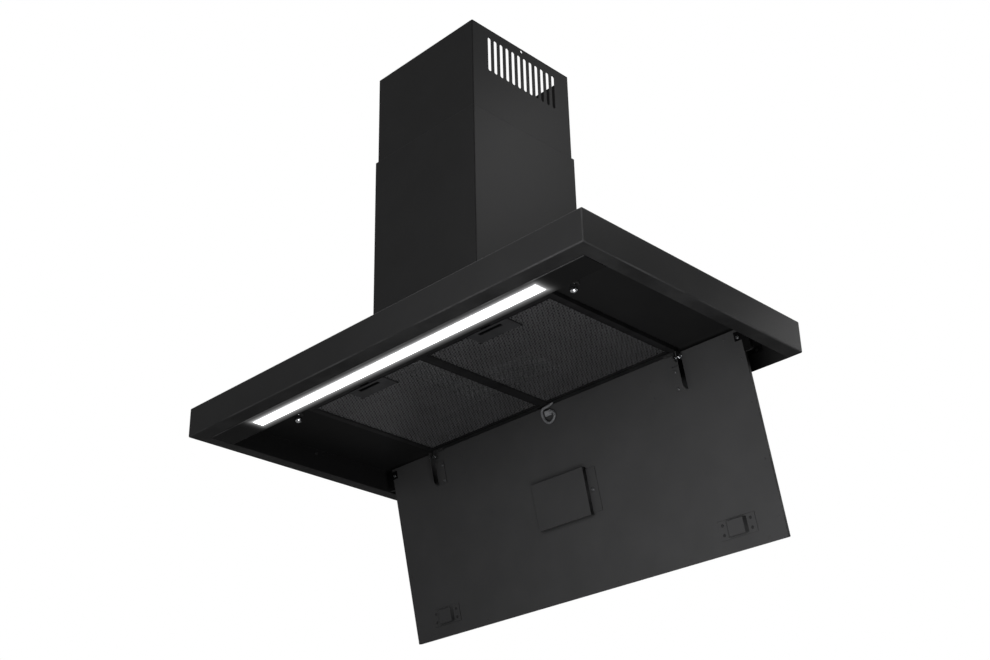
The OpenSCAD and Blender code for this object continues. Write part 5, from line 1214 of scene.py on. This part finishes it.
class HOOD_OT_canopy(HoodPiece, bpy.types.Operator):
    """Makes the canopy, its recess, its rear ties and the side screws"""
    bl_idname = "hood.canopy"
    bl_label = "Canopy and recess"

    def make(self, context):
        canopy_piece()
        dressed("recess_liner", "recess_sheet", 0.35 * MM)
        dressed("rear_ties", "recess_sheet", 0.45 * MM)
        ceiling_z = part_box("rear_ties")[1].z

        def upright(low, high):
            return high.z > ceiling_z + 0.5 * MM

        fastened("tie_rivets", "black_sheet", rivet(2.4 * MM), RIVET_T, (DOWN, upright), (UP, upright),
                 (FRONT, lambda low, high: not upright(low, high)))
        fastened("wall_screws", "black_sheet", screw(5 * MM), SCREW_T, (-RIGHT, lambda low, high: low.x > 0),
                 (RIGHT, lambda low, high: low.x < 0))


class HOOD_OT_light(HoodPiece, bpy.types.Operator):
    """Makes the light strip: plate, diffuser, board and cover"""
    bl_idname = "hood.light"
    bl_label = "Light strip"

    def make(self, context):
        dressed("light_plate", "light_sheet", 0.35 * MM, 3)
        diffuser_piece()
        dressed("light_board", "board", 0.1 * MM, 1)
        dressed("light_cover", "zinc_steel")


class HOOD_OT_filters(HoodPiece, bpy.types.Operator):
    """Makes the filter frame, the two filters, their mesh and their latches"""
    bl_idname = "hood.filters"
    bl_label = "Filters"

    def make(self, context):
        dressed("filter_bezel", "dark_aluminium", 0.4 * MM)
        for side in ("left", "right"):
            dressed("filter_" + side, "dark_aluminium", 0.4 * MM)
            mesh_pack(side)
            dressed("latch_plate_" + side, "latch_plastic", 0.25 * MM)
            dressed("latch_slider_" + side, "dull_plastic", 0.2 * MM)


class HOOD_OT_hinge(HoodPiece, bpy.types.Operator):
    """Makes the hinge, the ball studs and their fasteners"""
    bl_idname = "hood.hinge"
    bl_label = "Hinge and studs"

    def make(self, context):
        stud_piece()
        fastened("stud_nuts", "zinc_steel", hex_head(STUD_HEX_R, STUD_HEX_T, bore=STUD_R), STUD_HEX_T, UP)
        dressed("hinge_brackets", "black_sheet", 0.3 * MM)
        fastened("hinge_screws", "black_sheet", screw(6.5 * MM), SCREW_T, DOWN)
        pin_piece()
        dressed("hinge_arms", "arm_sheet", 0.3 * MM)
        fastened("arm_rivets", "dark_zinc", rivet(2.7 * MM), RIVET_T, UP, into=OFF_PANEL)
        dressed("cable_grommet", "black_rubber", 0.15 * MM)


class HOOD_OT_panel(HoodPiece, bpy.types.Operator):
    """Makes the hinged panel with its rivets, catches and side guides"""
    bl_idname = "hood.panel"
    bl_label = "Panel"

    def make(self, context):
        dressed("panel_skin", "panel_sheet", 0.5 * MM, 3)
        dressed("panel_sheet_inner", "panel_sheet", 0.3 * MM)
        fastened("panel_rivets", "panel_sheet", dot_rivet(), DOT_T, UP, into=OFF_PANEL)
        dressed("catch_housings", "panel_sheet", 0.5 * MM, 3)
        dressed("catch_magnets", "dark_zinc")
        fastened("catch_rivets", "black_sheet", rivet(2.2 * MM), RIVET_T, UP, into=OFF_PANEL)
        dressed("side_guides", "dull_plastic", 0.4 * MM, 3)


class HOOD_OT_controls(HoodPiece, bpy.types.Operator):
    """Makes the control cover, its screw, the board, the touch window and the cable"""
    bl_idname = "hood.controls"
    bl_label = "Controls and cable"

    def make(self, context):
        dressed("control_cover", "cover_sheet", 0.4 * MM, 3)
        fastened("cover_screw", "dark_zinc", screw(2.2 * MM), SCREW_T, UP, into=OFF_PANEL)
        dressed("control_board", "board", 0.15 * MM, 1)
        dressed("touch_window", "black_glass", 0.3 * MM)
        cable_pieces()


class HOOD_OT_chimney(HoodPiece, bpy.types.Operator):
    """Makes the two chimney sections and their screws"""
    bl_idname = "hood.chimney"
    bl_label = "Chimney"

    def make(self, context):
        lower_section_piece()
        dressed("upper_chimney", "black_sheet", 0.2 * MM)
        fastened("chimney_screws", "zinc_steel", screw(5 * MM), SCREW_T, UP)


class HOOD_OT_fan(HoodPiece, bpy.types.Operator):
    """Makes the fan box with its scroll, motor, wheel and capacitor"""
    bl_idname = "hood.fan"
    bl_label = "Fan"

    def make(self, context):
        dressed("fan_box", "zinc_steel", 0.3 * MM)
        dressed("fan_scroll", "black_plastic", 0.4 * MM)
        motor_piece()
        dressed("motor_spider", "zinc_steel")
        dressed("motor_shaft", "chrome", 0.4 * MM)
        wheel_piece()
        capacitor_piece()


class HOOD_OT_outlet(HoodPiece, bpy.types.Operator):
    """Makes the outlet collar with its flaps and screws"""
    bl_idname = "hood.outlet"
    bl_label = "Outlet"

    def make(self, context):
        dressed("outlet_collar", "black_plastic", 0.4 * MM)
        dressed("flap_rod", "chrome", 0.2 * MM)
        for side in ("left", "right"):
            dressed("flap_" + side, "black_plastic", 0.3 * MM)
        fastened("collar_screws", "zinc_steel", screw(3 * MM), SCREW_T, UP)


class HOOD_OT_hanging_frame(HoodPiece, bpy.types.Operator):
    """Makes the hanging frame: corner rails, top plate and bolts"""
    bl_idname = "hood.hanging_frame"
    bl_label = "Hanging frame"

    def make(self, context):
        dressed("corner_rails", "zinc_steel", 0.4 * MM)
        dressed("top_plate", "zinc_steel", 0.4 * MM)
        bolt = hex_head(5 * MM, BOLT_T, 2.5 * MM, 4 * MM)
        halves = (lambda low, high: low.y <= 0, lambda low, high: low.y > 0)
        seats = [(aim, half) for half in halves for aim in (FRONT, -FRONT)]
        fastened("frame_bolts", "zinc_steel", bolt, BOLT_T, *seats)


class HOOD_OT_electrics(HoodPiece, bpy.types.Operator):
    """Makes the power box, its board and the cable gland"""
    bl_idname = "hood.electrics"
    bl_label = "Electrics"

    def make(self, context):
        dressed("power_box", "zinc_steel", 0.4 * MM)
        dressed("power_board", "board", 0.15 * MM, 1)
        gland_piece()


class HOOD_OT_stage(HoodPiece, bpy.types.Operator):
    """Makes the floor, the lamps, the sky and the camera"""
    bl_idname = "hood.stage"
    bl_label = "Stage"

    def make(self, context):
        settings = context.scene.hood_stage
        floor(settings)
        sky(settings)
        lamps(settings)
        camera(settings)


# Stage

def floor(settings):
    """A plain pale floor below the object."""
    half = settings.floor_size / 2
    mesh = bpy.data.meshes.new("floor")
    corners = [(-half, -half), (half, -half), (half, half), (-half, half)]
    mesh.from_pydata([(x, y, settings.floor_z) for x, y in corners], [], [(0, 1, 2, 3)])
    paint = Finish("pale_floor", (0.82, 0.82, 0.82), 0.7)
    paint.handled((0.78, 0.78, 0.78), spread=0.05, scale=2.0)
    mesh.materials.append(paint.material)
    placed("floor", mesh)


def sky(settings):
    """Even light, white where the camera, gloss or glass sees it."""
    world = bpy.data.worlds.new("studio")
    world.use_nodes = True
    tree = world.node_tree
    do, light = sums(tree), tree.nodes["Background"]
    light.inputs["Color"].default_value = WHITE
    light.inputs["Strength"].default_value = settings.sky
    white = added(tree, "ShaderNodeBackground", {"Color": WHITE, "Strength": 1.0})
    path = tree.nodes.new("ShaderNodeLightPath").outputs
    seen = do("MAXIMUM", do("MAXIMUM", path["Is Camera Ray"], path["Is Glossy Ray"]), path["Is Transmission Ray"])
    mix = added(tree, "ShaderNodeMixShader", {
        "Fac": seen, 1: light.outputs["Background"], 2: white.outputs["Background"]})
    feed(tree, mix.outputs["Shader"], tree.nodes["World Output"].inputs["Surface"])
    bpy.context.scene.world = world


# Each lamp's setting, place, target and width
LAMPS = (("front", (-1.69, -2.93, -0.75), (0, 0, -0.4), 1.2),
         ("edge", (0.5, -0.8, -0.45), (0.3, 0, -0.5), 0.4),
         ("low", (0.5, -0.3, -1.2), (0.3, 0, -0.5), 0.4),
         ("rear", (0.62, 0.68, -0.4), (0.3, 0, -0.5), 0.4),
         ("high", (0.75, 0.5, 0.35), (0.3, 0, -0.5), 0.4))


def lamps(settings):
    """Soft square lamps that look at a point and stay out of the picture."""
    for name, place, target, width in LAMPS:
        light = bpy.data.lights.new(name + "_lamp", "AREA")
        light.shape = "SQUARE"
        light.size = width
        light.energy = getattr(settings, name)
        thing = placed(name + "_lamp", light)
        thing.visible_camera = False
        thing.location = place
        thing.rotation_mode = "QUATERNION"
        thing.rotation_quaternion = (Vector(target) - Vector(place)).to_track_quat("-Z", "Y")


def camera(settings):
    """The camera at the photograph's viewing angle."""
    data = bpy.data.cameras.new("camera")
    data.sensor_fit = "HORIZONTAL"
    data.sensor_width = 36
    data.lens = settings.lens
    data.clip_start, data.clip_end = 0.05, 60
    data.dof.use_dof = False
    thing = placed("camera", data)
    turn = Vector(settings.camera_turn)
    thing.matrix_world = (Matrix.Translation(settings.camera_at)
                          @ Matrix.Rotation(turn.length, 4, turn.normalized()))
    bpy.context.scene.camera = thing


STEPS = [HOOD_OT_canopy, HOOD_OT_light, HOOD_OT_filters, HOOD_OT_hinge, HOOD_OT_panel, HOOD_OT_controls,
         HOOD_OT_chimney, HOOD_OT_fan, HOOD_OT_outlet, HOOD_OT_hanging_frame, HOOD_OT_electrics, HOOD_OT_stage]
SETTINGS = {"hood_colours": HoodColours, "hood_sizes": HoodSizes, "hood_stage": HoodStage}


class HOOD_PT_sidebar(bpy.types.Panel):
    """The hood's settings and steps"""
    bl_idname = "HOOD_PT_sidebar"
    bl_label = "Chimney range hood"
    bl_space_type = "VIEW_3D"
    bl_region_type = "UI"
    bl_category = "Hood"

    def draw(self, context):
        for title, name in zip(("Colours", "Sizes", "Stage"), SETTINGS):
            group = getattr(context.scene, name)
            box = self.layout.box()
            box.label(text=title)
            for setting in group.bl_rna.properties.keys():
                if setting not in ("rna_type", "name"):
                    box.prop(group, setting)
        for step in STEPS:
            self.layout.operator(step.bl_idname)


CLASSES = [*SETTINGS.values(), *STEPS, HOOD_PT_sidebar]


def register():
    for cls in CLASSES:
        bpy.utils.register_class(cls)
    for name, group in SETTINGS.items():
        setattr(bpy.types.Scene, name, PointerProperty(type=group))


def unregister():
    for name in SETTINGS:
        delattr(bpy.types.Scene, name)
    for cls in reversed(CLASSES):
        bpy.utils.unregister_class(cls)


def main():
    register()
    bpy.context.scene.view_settings.view_transform = "Standard"
    for step in STEPS:
        area, name = step.bl_idname.split(".")
        getattr(getattr(bpy.ops, area), name)()


if __name__ == "__main__":
    main()
